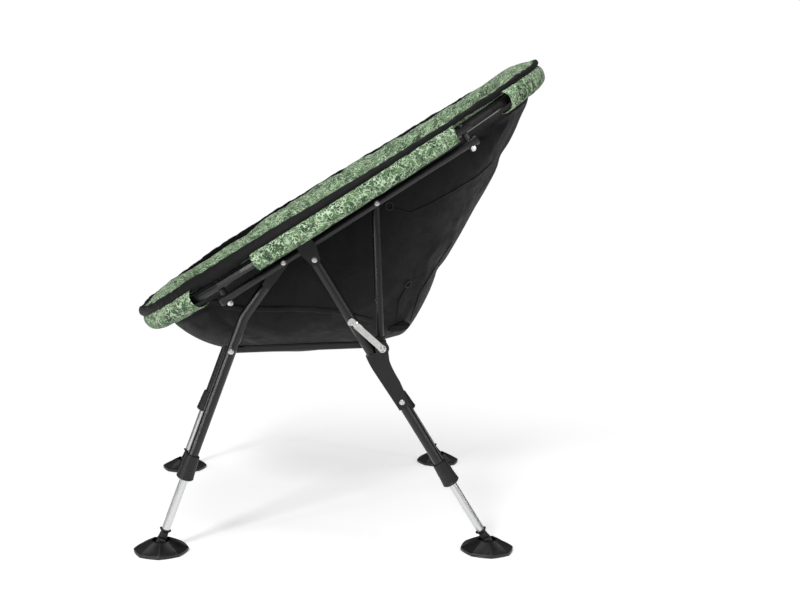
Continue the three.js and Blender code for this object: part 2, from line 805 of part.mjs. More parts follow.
// Twist collar: a smooth band above, grip ribs below, a bore for each tube
function collarProfile() {
  const throat = innerLegRadius + boreGap + gap;
  const bore = legRadius + boreGap;
  const ribStart = collarRound + collarRibs * collarRibPitch;
  const radiusAt = (z) => THREE.MathUtils.lerp(collarBottomRadius, collarWaistRadius, z / ribStart);
  const points = [
    [throat, 0],
    [collarBottomRadius - collarRound, 0],
    [collarBottomRadius, collarRound],
  ];
  for (let i = 0; i < collarRibs; i += 1) {
    const z = collarRound + i * collarRibPitch;
    points.push([radiusAt(z) - collarRibDepth, z + collarRibPitch * 0.3]);
    points.push([radiusAt(z + collarRibPitch), z + collarRibPitch * 0.75]);
  }
  points.push([collarTopRadius, collarLength - collarRound / 3]);
  points.push([collarTopRadius - collarRound / 3, collarLength]);
  points.push([bore, collarLength]);
  points.push([bore, collarLength - collarGrip - gap]);
  points.push([throat, collarLength - collarGrip - gap]);
  points.push([throat, 0]);
  return points;
}

function buildCollars() {
  const front = lathe(collarProfile(), 14, frontLegX);
  front.translate(0, 0, -frontCollarAlong - collarLength);
  addPair(frontLegFrame, 'front_collar', front, blackPlastic);
  const rear = lathe(collarProfile(), 14, braceX);
  rear.translate(0, 0, -rearCollarAlong - collarLength);
  addPair(rearLegFrame, 'rear_collar', rear, blackPlastic);
}

// Inner leg, and the ankle plug that carries the foot
function buildLowerLeg(frame, name, x, length, pivotDrop) {
  const foot = -pivotDrop + ankleLipAlong + gap;
  const tube = straightTube(x, foot, foot + length, innerLegRadius, innerLegRadius - innerLegWall, 8);
  addPair(frame, `${name}_inner_leg`, tube, aluminium);

  const plugRadius = innerLegRadius - innerLegWall - boreGap;
  const neckBottom = footEarRadius + gap * 2;
  const plug = lathe([
    [0, neckBottom],
    [ankleNeckRadius, neckBottom],
    [ankleNeckRadius * 0.85, ankleLipAlong - ankleLipThickness * 1.6],
    [ankleLipRadius, ankleLipAlong - ankleLipThickness / 3],
    [ankleLipRadius, ankleLipAlong],
    [plugRadius, ankleLipAlong],
    [plugRadius, ankleLipAlong + anklePlug],
    [0, ankleLipAlong + anklePlug],
  ], 10, x);
  const half = ankleTongue / 2;
  const eye = new THREE.Shape()
    .moveTo(ankleEyeRadius, neckBottom + ankleLipThickness)
    .lineTo(-ankleEyeRadius, neckBottom + ankleLipThickness)
    .lineTo(-ankleEyeRadius, 0)
    .absarc(0, 0, ankleEyeRadius, Math.PI, 2 * Math.PI, false);
  const ankle = cut(join(plug, sidePlate(eye, x - half, x + half)),
    crossBar(0, 0, footPinRadius + boreGap, x - half - overrun, x + half + overrun, 12));
  ankle.translate(0, 0, -pivotDrop);
  addPair(frame, `${name}_ankle`, ankle, blackPlastic);
}

// Mud foot: a wide webbed cone, scalloped between its ridges, with two ears round the ankle's pin
function footGeometry(x) {
  const base = -footPivotHeight;
  const hubZ = base + footHubHeight;
  const rimZ = base + footRimHeight;
  const segments = footRidges * 3;
  const profile = [
    [0, base],
    [footRadius - 2 * footScallop, base],
    [footRadius, base + footRimHeight / 2],
    [footRadius - footScallop, rimZ],
    [THREE.MathUtils.lerp(footHubRadius, footRadius, 0.45), THREE.MathUtils.lerp(hubZ, rimZ, 0.36)],
    [footHubRadius, hubZ],
    [0, hubZ],
  ];
  const cone = lathe(profile, segments);
  const place = cone.attributes.position;
  for (let i = 0; i < place.count; i += 1) {
    const [px, py, pz] = [place.getX(i), place.getY(i), place.getZ(i)];
    const radius = Math.hypot(px, py);
    const ridge = 0.5 + 0.5 * Math.cos(footRidges * Math.atan2(py, px));
    const spread = THREE.MathUtils.clamp((radius - footHubRadius) / (footRadius - footHubRadius), 0, 1);
    const bulge = Math.sin(Math.PI * Math.min(spread * 1.25, 1));
    if (pz > rimZ - footScallop) place.setZ(i, pz + footRidgeHeight * (ridge - 0.5) * bulge);
    const pull = 1 - (footScallop / footRadius) * (1 - ridge) * spread;
    place.setX(i, px * pull);
    place.setY(i, py * pull);
  }
  const halfSlot = footSlot / 2;
  const earX = halfSlot + footEarRadius * 0.8;
  const ears = new THREE.Shape()
    .moveTo(-footEarRadius * 1.3, hubZ - footRimHeight)
    .lineTo(footEarRadius * 1.3, hubZ - footRimHeight)
    .lineTo(footEarRadius, 0)
    .absarc(0, 0, footEarRadius, 0, Math.PI, false);
  const slot = box(-halfSlot, halfSlot, -footHubRadius - overrun, footHubRadius + overrun,
    -ankleEyeRadius - gap * 2, footHubHeight + overrun);
  const block = sidePlate(ears, -earX, earX, 6);
  const pin = crossBar(0, 0, footPinRadius, -earX, earX, 12);
  const foot = join(cut(join(cone, block), slot), pin);
  foot.translate(x, 0, 0);
  return foot;
}

// Depth of the seat bowl along its middle line, as shares of its length and depth
const keelShares = [
  [0, 0.045], [0.04, 0.275], [0.10, 0.46], [0.21, 0.695], [0.33, 0.88], [0.42, 0.99],
  [0.45, 1], [0.51, 0.91], [0.60, 0.735], [0.72, 0.535], [0.86, 0.29], [1, 0.01],
];
const keel = new THREE.SplineCurve(keelShares.map(([along, depth]) => flat(along, depth)));
const keelFine = keel.getPoints(200);

function keelDepth(share) {
  const next = keelFine.findIndex((point) => point.x >= share);
  if (next <= 0) return keelFine[next === 0 ? 0 : keelFine.length - 1].y;
  const [a, b] = [keelFine[next - 1], keelFine[next]];
  return THREE.MathUtils.lerp(a.y, b.y, (share - a.x) / (b.x - a.x));
}

// A point of the bowl: angle round it, and a share from its middle (0) to its edge (1)
function bowlPoint(angle, spread, inset = 0) {
  const front = Math.sin(angle) < 0;
  const power = front ? rimFrontPower : rimRearPower;
  const reach = (front ? bowlFrontReach : bowlRearReach) - inset;
  const across = Math.sign(Math.cos(angle)) * Math.abs(Math.cos(angle)) ** (2 / power);
  const along = Math.sign(Math.sin(angle)) * Math.abs(Math.sin(angle)) ** (2 / power);
  const radial = Math.sin(spread * Math.PI / 2);
  const x = (bowlHalfWidth - inset) * across * radial;
  const y = rimMiddle + reach * along * radial;
  const total = bowlFrontReach + bowlRearReach - 2 * inset;
  const share = (y - rimMiddle + bowlFrontReach - inset) / total;
  const localHalf = halfWidthAt(y, inset);
  const flank = localHalf > 0 ? Math.min(Math.abs(x) / localHalf, 1) : 1;
  const depth = (bowlDepth - inset) * keelDepth(THREE.MathUtils.clamp(share, 0, 1));
  return new THREE.Vector3(x, y, -depth * Math.sqrt(1 - flank ** 2.2));
}

function halfWidthAt(y, inset) {
  const front = y < rimMiddle;
  const power = front ? rimFrontPower : rimRearPower;
  const reach = (front ? bowlFrontReach : bowlRearReach) - inset;
  const share = Math.min(Math.abs(y - rimMiddle) / reach, 1);
  return (bowlHalfWidth - inset) * (1 - share ** power) ** (1 / power);
}

// A point of the bowl's outer face, moved square to that face into the bowl
const slopeShare = 0.01;
function bowlOffset(angle, spread, offset) {
  const point = bowlPoint(angle, spread);
  if (spread === 0) return point.setZ(point.z + offset);
  const outer = bowlPoint(angle, Math.min(spread + slopeShare, 1));
  const radial = outer.sub(bowlPoint(angle, spread - 2 * slopeShare));
  const side = bowlPoint(angle + slopeShare, spread).sub(bowlPoint(angle - slopeShare, spread));
  return point.addScaledVector(radial.cross(side).normalize(), offset);
}

// Closed skin from loops of points: the first and the last loop shrink to a point. From one loop on,
// the quads are split along their other diagonal, so that faces lying on each other match.
function skin(loops, turnedFrom) {
  const count = loops[0].length;
  const positions = [];
  const index = [];
  for (const loop of loops) for (const p of loop) positions.push(p.x, p.y, p.z);
  for (let k = 0; k < loops.length - 1; k += 1) {
    for (let i = 0; i < count; i += 1) {
      const j = (i + 1) % count;
      const [a, b, c, d] = [k * count + i, k * count + j, (k + 1) * count + j, (k + 1) * count + i];
      if (k < turnedFrom) index.push(a, b, c, a, c, d);
      else index.push(a, b, d, b, c, d);
    }
  }
  const geometry = new THREE.BufferGeometry();
  geometry.setAttribute('position', new THREE.Float32BufferAttribute(positions, 3));
  geometry.setIndex(index);
  return geometry;
}

const roundSteps = 32;
const angles = Array.from({ length: roundSteps }, (_, i) => 2 * Math.PI * i / roundSteps);
const loopOf = (place) => angles.map(place);
const spreadShares = [0, 0.22, 0.42, 0.6, 0.76, 0.9, 1];
// Depth of the sewn channels round the bowl, one share for each loop
const channelShares = [0, 0, 1, 0, 1, 0, 0];

// Loops of the bowl from its middle to its edge, moved into the bowl by an offset
const bowlLoops = (offset) => (
  spreadShares.map((spread) => loopOf((angle) => bowlOffset(angle, spread, offset))));
const rimLoop = (inset, height) => loopOf((angle) => rimPoint(angle, inset, height));
const edgeLoopAt = (offset, height) => loopOf((angle) => bowlOffset(angle, 1, offset).setZ(height));

// Fabric shell: the outer skin that hangs in the rim, with a flat shelf out to its hem
function buildShell() {
  const bottom = bowlLoops(0);
  const top = bowlLoops(shellThickness).reverse();
  const shelf = [
    edgeLoopAt(-2 * shellThickness, shelfHeight - shellThickness),
    rimLoop(hemInset, hemHeight - shellThickness),
    rimLoop(hemInset, hemHeight),
    edgeLoopAt(shellThickness, shelfHeight),
  ];
  addPiece(seatFrame, 'seat_shell',
    skin([...bottom, ...shelf, ...top], bottom.length + shelf.length - 1), blackFabric);
}

// Padded cover: lines the shell, rolls over the rim with a soft crown and hoods its front and rear
function buildCover() {
  const under = bowlLoops(shellThickness + coverGap);
  under.push(edgeLoopAt(shellThickness + coverGap, shelfHeight + 4 * gap));
  const padInset = shellThickness + padThickness;
  const over = spreadShares.map((spread, k) => loopOf((angle) => {
    const point = bowlPoint(angle, spread, padInset);
    point.z += padThickness / 3 - channelShares[k] * channelDepth;
    return point;
  })).reverse();
  over[0] = loopOf((angle) => bowlPoint(angle, 1, padInset).setZ(padThickness + padThickness / 3));
  const edge = (angle) => 3 * gap + endReach * Math.sin(angle) ** 4;
  const edgeLoop = (share, height) => loopOf((angle) => rimPoint(angle, -edge(angle) * share, height));
  const crown = [
    rimLoop(hemInset, hemHeight + 4 * gap),
    rimLoop(hemInset, bindingHeight - gap),
    edgeLoop(0.7, bindingHeight),
    edgeLoop(1, (bindingHeight + padEdgeHeight) / 2),
    edgeLoop(0.6, padEdgeHeight),
    rimLoop(crownInset * 0.4, padCrown),
    rimLoop(crownInset, padCrown - crownFall),
    rimLoop(crownInset * 1.6, padCrown - 3 * crownFall),
  ];
  const cover = toSolid(skin([...under, ...crown, ...over], under.length - 1));
  const section = new THREE.Shape()
    .absellipse(pocketDrop, 0, pocketRadius, hemInset - 5 * gap, 0, 2 * Math.PI, false, 0);
  section.holes.push(new THREE.Path().absarc(0, 0, rimRadius + gap, 0, 2 * Math.PI));
  const hoods = [
    sweep(section, clipped(rimFrontStations, -rimFrontReach, pocketFront), rimSides),
    sweep(section, clipped(rimRearStations, pocketRear, rimMiddle + rimRearReach), rimSides),
  ];
  const whole = hoods.reduce((solid, hood) => solid.add(toSolid(hood)), cover);
  addPiece(seatFrame, 'seat_cover', toGeometry(whole), greenFabric);
}

// Padded sleeve round each side of the rim tube
function buildSleeves() {
  const section = ringSection(sleeveRadius, rimRadius + gap);
  const left = (point) => point.x > 0;
  const stations = [
    ...clipped(rimFrontStations.filter(left), frontCrossing + sleeveFrontRoom, rimMiddle).reverse(),
    ...clipped(rimRearStations.filter(left), rimMiddle, rearCrossing - sleeveRearRoom),
  ];
  addPair(seatFrame, 'rim_sleeve', sweep(section, stations, rimSides), greenFabric);
}

addPair(frontFootFrame, 'front_foot', footGeometry(frontLegX), rubber);
addPair(rearFootFrame, 'rear_foot', footGeometry(braceX), rubber);
buildRim();
buildRails();
buildBracket();
buildFrontLeg();
buildLink();
buildStrut();
buildBrace();
buildKnuckle();
buildLatch();
buildCollars();
buildLowerLeg(frontLegFrame, 'front', frontLegX, frontInnerLegLength, frontPivotToFoot);
buildLowerLeg(rearLegFrame, 'rear', braceX, rearInnerLegLength, rearPivotToFoot);
buildShell();
buildCover();
buildSleeves();

// The origin lies on the ground under the middle of the chair's box
const bounds = new THREE.Box3().setFromObject(chair, true);
chair.position.y = -(bounds.min.y + bounds.max.y) / 2;

export default chair;
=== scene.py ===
# Looks for the folding fishing chair: soft goods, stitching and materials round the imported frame.
import math

import bmesh
import bpy
import numpy as np
from mathutils import Matrix, Vector, noise
from mathutils.bvhtree import BVHTree

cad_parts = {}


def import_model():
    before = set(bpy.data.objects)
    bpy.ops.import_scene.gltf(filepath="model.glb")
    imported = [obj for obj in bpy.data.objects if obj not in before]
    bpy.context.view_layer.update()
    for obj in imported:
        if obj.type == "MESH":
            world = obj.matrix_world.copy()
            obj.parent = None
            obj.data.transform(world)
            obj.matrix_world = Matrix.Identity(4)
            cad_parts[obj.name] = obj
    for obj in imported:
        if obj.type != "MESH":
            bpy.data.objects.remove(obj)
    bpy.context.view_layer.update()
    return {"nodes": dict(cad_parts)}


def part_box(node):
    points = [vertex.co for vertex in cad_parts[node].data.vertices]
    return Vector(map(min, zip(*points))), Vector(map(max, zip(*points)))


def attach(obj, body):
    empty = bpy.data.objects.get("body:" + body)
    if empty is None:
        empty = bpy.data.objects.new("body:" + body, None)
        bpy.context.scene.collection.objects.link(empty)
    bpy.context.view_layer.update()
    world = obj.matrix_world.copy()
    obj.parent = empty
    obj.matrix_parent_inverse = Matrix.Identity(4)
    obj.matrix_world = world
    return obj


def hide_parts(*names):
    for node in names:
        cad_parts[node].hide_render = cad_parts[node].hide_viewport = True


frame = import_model()

# Sizes in millimetres: the seat plane lies along the rails, and the frame places it
RAIL_FRONT = (-236.584, 481.9)
PITCH = math.radians(33.3)
RIM_HALF_WIDTH, RIM_MIDDLE, RIM_HEIGHT = 355.0, 273.6, 27.0
RIM_REACH = (439.0, 498.0)
RIM_POWER = (2.55, 2.2)
BOWL_HALF_WIDTH, BOWL_DEPTH = 262.0, 281.0
BOWL_REACH = (408.0, 462.0)
FLANK_POWER = 2.2
# The bowl's middle line: share of the way from front to rear, and share of the full depth
KEEL = [(0, 0.045), (0.04, 0.275), (0.10, 0.46), (0.21, 0.695), (0.33, 0.88), (0.42, 0.99),
        (0.45, 1), (0.51, 0.91), (0.60, 0.735), (0.72, 0.535), (0.86, 0.29), (1, 0.01)]

# The photograph's view
CAMERA_AT = Vector((2.352, -0.1528, 0.7329))
FORWARD = Vector((-0.98588, 0.11649, -0.12027)).normalized()
RIGHT = FORWARD.cross(Vector((-0.12190, -0.00693, 0.99252))).normalized()
UP = RIGHT.cross(FORWARD)
LENS, SENSOR, PHOTO_SIZE = 49.86, 36.0, (800, 600)

# Strips sewn on the pouch's side: the photo pixels they run through, and width, height and ruffle in metres
SEWN_STRIPS = (
    ("pouch_hem", [(213, 300), (226, 306), (245, 309), (270, 309), (300, 309), (330, 311), (352, 315),
                   (372, 321)], 0.013, 0.0022, 0.0022),
    ("pouch_rear_seam", [(392, 208), (410, 213), (432, 203), (455, 190), (478, 176), (492, 162)],
     0.004, 0.0014, 0.0008),
    ("pouch_low_seam", [(408, 284), (399, 300), (397, 318), (404, 326)], 0.004, 0.0014, 0.0012),
    ("pouch_back_seam", [(452, 242), (436, 266), (420, 292), (410, 322)], 0.004, 0.0012, 0.001),
)
EYELET_PIXELS = [(389, 206), (408, 284)]
GATHER_PIXEL = (398, 326)
STRUT_RIVET_PIXEL = (376, 300)
# Rays between two neighbouring pixels of a run
PIXEL_STEPS = 8


def world(p):
    """Seat plane points (across, along the rail, above it) in millimetres, as metres in the row frame."""
    p = np.asarray(p, float)
    x, s, h = p[..., 0], p[..., 1], p[..., 2]
    y = RAIL_FRONT[0] + math.cos(PITCH) * s - math.sin(PITCH) * h
    z = RAIL_FRONT[1] + math.sin(PITCH) * s + math.cos(PITCH) * h
    return np.stack([x, y, z], -1) / 1000.0


def keel_curve():
    """The bowl's middle line as two arrays, from a smooth curve through its points."""
    pts = np.array(KEEL, float)
    out = []
    last = len(pts) - 1
    for t in np.linspace(0, last, 201):
        i = min(int(t), last - 1)
        w = t - i
        p1, p2 = pts[i], pts[i + 1]
        p0 = pts[i - 1] if i else p1
        p3 = pts[i + 2] if i + 2 <= last else p2
        v0, v1 = (p2 - p0) / 2, (p3 - p1) / 2
        out.append((2 * p1 - 2 * p2 + v0 + v1) * w ** 3
                   + (-3 * p1 + 3 * p2 - 2 * v0 - v1) * w ** 2 + v0 * w + p1)
    out = np.array(out)
    return out[:, 0], out[:, 1]


KEEL_AT, KEEL_DEPTH = keel_curve()


def rim(angle, inset=0.0, height=RIM_HEIGHT):
    """Points round the rim's line, moved inward and set at a height, in the seat plane."""
    angle, inset, height = np.broadcast_arrays(np.asarray(angle, float), inset, height)
    c, s = np.cos(angle), np.sin(angle)
    n = np.where(s < 0, RIM_POWER[0], RIM_POWER[1])
    r = np.where(s < 0, RIM_REACH[0], RIM_REACH[1]) - inset
    x = (RIM_HALF_WIDTH - inset) * np.sign(c) * np.abs(c) ** (2 / n)
    y = RIM_MIDDLE + r * np.sign(s) * np.abs(s) ** (2 / n)
    return np.stack([x, y, height], -1)


def bowl(angle, spread, inset=0.0):
    """Points of the bowl: spread runs from 0 at its bottom to 1 at its edge."""
    angle, spread, inset = np.broadcast_arrays(np.asarray(angle, float), spread, inset)
    c, s = np.cos(angle), np.sin(angle)
    n = np.where(s < 0, RIM_POWER[0], RIM_POWER[1])
    r = np.where(s < 0, BOWL_REACH[0], BOWL_REACH[1]) - inset
    radial = np.sin(spread * math.pi / 2)
    x = (BOWL_HALF_WIDTH - inset) * np.sign(c) * np.abs(c) ** (2 / n) * radial
    y = r * np.sign(s) * np.abs(s) ** (2 / n) * radial
    share = (y + BOWL_REACH[0] - inset) / (BOWL_REACH[0] + BOWL_REACH[1] - 2 * inset)
    rest = np.clip(np.abs(y) / r, 0, 1)
    half = (BOWL_HALF_WIDTH - inset) * (1 - rest ** n) ** (1 / n)
    flank = np.clip(np.where(half > 1e-6, np.abs(x) / np.maximum(half, 1e-6), 1), 0, 1)
    depth = (BOWL_DEPTH - inset) * np.interp(np.clip(share, 0, 1), KEEL_AT, KEEL_DEPTH)
    return np.stack([x, RIM_MIDDLE + y, -depth * np.sqrt(np.maximum(1 - flank ** FLANK_POWER, 0))], -1)


def bowl_lifted(angle, spread, offset):
    """The bowl's outer face moved square to itself, into the bowl."""
    step = 0.01
    radial = bowl(angle, np.minimum(spread + step, 1)) - bowl(angle, np.maximum(spread - 2 * step, 0))
    side = bowl(angle + step, spread) - bowl(angle - step, spread)
    normal = np.cross(radial, side)
    size = np.linalg.norm(normal, axis=-1, keepdims=True)
    normal = np.where(size > 1e-9, normal / np.maximum(size, 1e-9), [0.0, 0.0, 1.0])
    return bowl(angle, spread) + normal * np.broadcast_to(offset, spread.shape)[..., None]


# Mesh helpers
def make_object(name, points, faces, body, material):
    mesh = bpy.data.meshes.new(name)
    mesh.from_pydata([tuple(p) for p in points], [], faces)
    mesh.update()
    bm = bmesh.new()
    bm.from_mesh(mesh)
    bmesh.ops.recalc_face_normals(bm, faces=bm.faces)
    bm.to_mesh(mesh)
    bm.free()
    obj = bpy.data.objects.new(name, mesh)
    bpy.context.scene.collection.objects.link(obj)
    mesh.materials.append(material)
    mesh.polygons.foreach_set("use_smooth", [True] * len(mesh.polygons))
    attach(obj, body)
    return obj


def grid_faces(rows, columns, close_rows=False, close_columns=False):
    """Quads of a grid whose point (row, column) is number row * columns + column."""
    faces = []
    for i in range(rows if close_rows else rows - 1):
        for j in range(columns if close_columns else columns - 1):
            i2, j2 = (i + 1) % rows, (j + 1) % columns
            faces.append((i * columns + j, i * columns + j2, i2 * columns + j2, i2 * columns + j))
    return faces


def concentric(m):
    """A square grid bent into rings: for each point its ring share and its angle, and the border in order."""
    rings, angles, index = [], [], {}
    for i in range(-m, m + 1):
        for j in range(-m, m + 1):
            k = max(abs(i), abs(j))
            if k == 0:
                angle = 0.0
            elif abs(i) >= abs(j):
                angle = math.pi / 4 * (j / i) + (math.pi if i < 0 else 0)
            else:
                angle = math.pi / 2 - math.pi / 4 * (i / j) + (math.pi if j < 0 else 0)
            index[(i, j)] = len(rings)
            rings.append(k / m)
            angles.append(angle)
    faces = [(index[(i, j)], index[(i + 1, j)], index[(i + 1, j + 1)], index[(i, j + 1)])
             for i in range(-m, m) for j in range(-m, m)]
    border = ([(m, j) for j in range(-m, m)] + [(i, m) for i in range(m, -m, -1)]
              + [(-m, j) for j in range(m, -m, -1)] + [(i, -m) for i in range(-m, m)])
    return np.array(rings), np.array(angles), faces, [index[b] for b in border]


def join_loops(first, second):
    """Quads between two closed loops of point numbers."""
    n = len(first)
    return [(first[i], first[(i + 1) % n], second[(i + 1) % n], second[i]) for i in range(n)]


def add_rings(points, faces, border, rings):
    """Joins ring after ring of points to the border, and returns each ring's point numbers."""
    numbers = [list(border)]
    for ring in rings:
        count = sum(len(p) for p in points)
        points.append(ring)
        numbers.append(list(range(count, count + len(border))))
        faces += join_loops(numbers[-2], numbers[-1])
    return numbers[1:]


def on_ring(spread, seam, rings):
    """Numbers of the points on the ring nearest to a seam's share."""
    return np.flatnonzero(np.abs(spread - round(seam * rings) / rings) < 1e-6).tolist()


def on_eighths(angles, chosen):
    """Numbers of the chosen points that lie on a line at a multiple of 45 degrees."""
    eighths = angles / (math.pi / 4)
    return np.flatnonzero(chosen & (np.abs(eighths - np.round(eighths)) < 1e-6)).tolist()


def fold_noise(points, size, seed, detail=3):
    """Smooth noise at each point, about -1 to 1, with features of that size in metres."""
    shift = Vector((seed * 7.13, seed * 3.71, seed * 1.37))
    return np.array([noise.fractal(Vector(p) / size + shift, 1.0, 2.0, detail) for p in points])


def add_modifier(obj, kind, **settings):
    modifier = obj.modifiers.new(kind.title(), kind)
    for key, value in settings.items():
        setattr(modifier, key, value)


def drape(obj, pins, pressure, shrink, frames, cap, stiffness, bending):
    """Lets the fabric settle between its sewn, pinned points, and keeps the settled shape."""
    group = obj.vertex_groups.new(name="sewn")
    group.add([int(i) for i in pins], 1.0, "REPLACE")
    before = np.array([v.co for v in obj.data.vertices])
    cloth = obj.modifiers.new("Cloth", "CLOTH")
    s = cloth.settings
    s.quality = 5
    s.mass = 0.3
    s.tension_stiffness = s.compression_stiffness = stiffness
    s.shear_stiffness = 5
    s.bending_stiffness = bending
    s.use_pressure = True
    s.uniform_pressure_force = pressure
    s.shrink_min = shrink
    s.vertex_group_mass = "sewn"
    s.effector_weights.gravity = 0
    cloth.collision_settings.use_collision = False
    cloth.point_cache.frame_start, cloth.point_cache.frame_end = 1, frames
    scene = bpy.context.scene
    for f in range(1, frames + 1):
        scene.frame_set(f)
    settled = obj.evaluated_get(bpy.context.evaluated_depsgraph_get())
    after = np.array([v.co for v in settled.data.vertices])
    obj.modifiers.remove(cloth)
    obj.vertex_groups.remove(group)
    scene.frame_set(1)
    move = after - before
    size = np.linalg.norm(move, axis=1, keepdims=True)
    move *= np.minimum(1, cap / np.maximum(size, 1e-9))
    obj.data.vertices.foreach_set("co", (before + move).ravel())
    obj.data.update()


# Materials
# Metres between two bands of a wave texture at scale 1
WAVE_PERIOD = 0.31416


def srgb(r, g, b):
    return tuple(((c + 0.055) / 1.055) ** 2.4 if c > 0.04045 else c / 12.92 for c in (r, g, b)) + (1.0,)


def put(tree, socket, value):
    """Joins another node's output to the socket, or sets a plain value on it."""
    if isinstance(value, bpy.types.NodeSocket):
        tree.links.new(value, socket)
    else:
        socket.default_value = value


def add_node(tree, kind, inputs=None, **fields):
    node = tree.nodes.new(kind)
    for key, value in fields.items():
        setattr(node, key, value)
    for key, value in (inputs or {}).items():
        put(tree, node.inputs[key], value)
    return node


class Shader:
    """A material's node tree, with short calls to add and join nodes."""

    SOCKETS = {"color": "Base Color", "rough": "Roughness", "metal": "Metallic", "normal": "Normal",
               "coat": "Coat Weight", "coat_rough": "Coat Roughness", "sheen": "Sheen Weight",
               "sheen_rough": "Sheen Roughness", "specular": "Specular IOR Level"}

    def __init__(self, name):
        self.material = bpy.data.materials.new(name)
        self.material.use_nodes = True
        self.tree = self.material.node_tree
        self.tree.nodes.clear()
        self.bsdf = self.add("ShaderNodeBsdfPrincipled")
        self.add("ShaderNodeOutputMaterial", {0: self.bsdf.outputs[0]})
        self.place = self.add("ShaderNodeTexCoord").outputs["Object"]

    def add(self, kind, inputs=None, **fields):
        return add_node(self.tree, kind, inputs, **fields)

    def mapped(self, scale, turn=(0, 0, 0), vector=None):
        return self.add("ShaderNodeMapping", {"Vector": vector or self.place, "Rotation": turn,
                                              "Scale": scale}).outputs[0]

    def noise(self, scale, detail=3.0, rough=0.5, distort=0.0, vector=None, output="Fac"):
        inputs = {"Vector": vector or self.place, "Scale": scale, "Detail": detail, "Roughness": rough,
                  "Distortion": distort}
        return self.add("ShaderNodeTexNoise", inputs).outputs[output]

    def wave(self, direction, pitch, vector=None):
        """Bands at that pitch in metres."""
        return self.add("ShaderNodeTexWave", {"Vector": vector or self.place, "Scale": WAVE_PERIOD / pitch,
                                              "Distortion": 0.0},
                        wave_type="BANDS", bands_direction=direction).outputs["Fac"]

    def math(self, operation, a, b):
        return self.add("ShaderNodeMath", {0: a, 1: b}, operation=operation).outputs[0]

    def ramp(self, value, stops):
        node = self.add("ShaderNodeValToRGB", {"Fac": value})
        elements = node.color_ramp.elements
        while len(elements) < len(stops):
            elements.new(0.5)
        for element, (at, colour) in zip(elements, stops):
            element.position = at
            element.color = colour if hasattr(colour, "__len__") else (colour, colour, colour, 1)
        return node.outputs["Color"]

    def mix(self, share, a, b, blend="MIX"):
        return self.add("ShaderNodeMix", {"Factor": share, 6: a, 7: b},
                        data_type="RGBA", blend_type=blend).outputs[2]

    def bump(self, height, strength, distance, under=None):
        inputs = {"Strength": strength, "Distance": distance, "Height": height}
        if under is not None:
            inputs["Normal"] = under
        return self.add("ShaderNodeBump", inputs).outputs[0]

    def set(self, **values):
        for key, value in values.items():
            put(self.tree, self.bsdf.inputs[self.SOCKETS[key]], value)
        return self.material


def weave(sh, pitch):
    """Height of a plain weave that runs along the seat and across it, on faces of any slant."""
    along = sh.mapped((1, 1, 1), (-PITCH, 0, 0))
    total = sh.math("ADD", sh.wave("X", pitch), sh.wave("Y", pitch, along))
    return sh.math("ADD", total, sh.wave("Z", pitch, along))


def black_paint():
    sh = Shader("black_powder_coat")
    peel = sh.noise(900, 2, 0.5)
    cloud = sh.noise(14, 4, 0.6)
    scuff = sh.noise(60, 6, 0.75, 1.5)
    color = sh.mix(sh.ramp(scuff, [(0.62, 0.0), (0.72, 0.35)]),
                   srgb(0.045, 0.045, 0.048), srgb(0.09, 0.09, 0.093))
    rough = sh.ramp(cloud, [(0.35, 0.26), (0.7, 0.36)])
    return sh.set(color=color, rough=rough, specular=0.42, coat=0.1, coat_rough=0.22,
                  normal=sh.bump(peel, 0.12, 0.0003))


def black_plastic():
    sh = Shader("black_nylon")
    grain = sh.noise(1500, 2, 0.6)
    cloud = sh.noise(30, 4, 0.6)
    color = sh.ramp(cloud, [(0.3, srgb(0.055, 0.055, 0.058)), (0.75, srgb(0.085, 0.085, 0.088))])
    rough = sh.ramp(cloud, [(0.3, 0.48), (0.7, 0.62)])
    return sh.set(color=color, rough=rough, specular=0.45, normal=sh.bump(grain, 0.35, 0.0004))


def black_rubber():
    sh = Shader("black_rubber")
    grain = sh.noise(700, 3, 0.6)
    dust = sh.noise(35, 6, 0.7, 0.8)
    color = sh.ramp(dust, [(0.35, srgb(0.045, 0.045, 0.047)), (0.75, srgb(0.08, 0.08, 0.08))])
    rough = sh.ramp(dust, [(0.3, 0.36), (0.75, 0.5)])
    return sh.set(color=color, rough=rough, specular=0.55, normal=sh.bump(grain, 0.4, 0.0005))


def zinc():
    sh = Shader("bright_zinc")
    spangle = sh.noise(240, 4, 0.6, 0.6)
    scratch = sh.noise(60, 5, 0.7, vector=sh.mapped((8, 8, 0.6)))
    color = sh.ramp(spangle, [(0.3, srgb(0.80, 0.80, 0.79)), (0.7, srgb(0.93, 0.93, 0.92))])
    rough = sh.ramp(scratch, [(0.3, 0.24), (0.7, 0.38)])
    return sh.set(color=color, rough=rough, metal=1.0, normal=sh.bump(scratch, 0.08, 0.0004))


def aluminium(name, lean):
    """Drawn tube: fine lines run down the leg, which leans by that angle in the side plane."""
    sh = Shader(name)
    along = sh.mapped((1, 1, 1), (-lean, 0, 0))
    lines = sh.noise(1300, 3, 0.6, vector=sh.mapped((1, 1, 0.012), vector=along))
    cloud = sh.noise(22, 4, 0.6)
    color = sh.ramp(lines, [(0.3, srgb(0.78, 0.785, 0.79)), (0.75, srgb(0.87, 0.87, 0.875))])
    rough = sh.ramp(cloud, [(0.3, 0.22), (0.7, 0.34)])
    return sh.set(color=color, rough=rough, metal=1.0, normal=sh.bump(lines, 0.04, 0.0002))


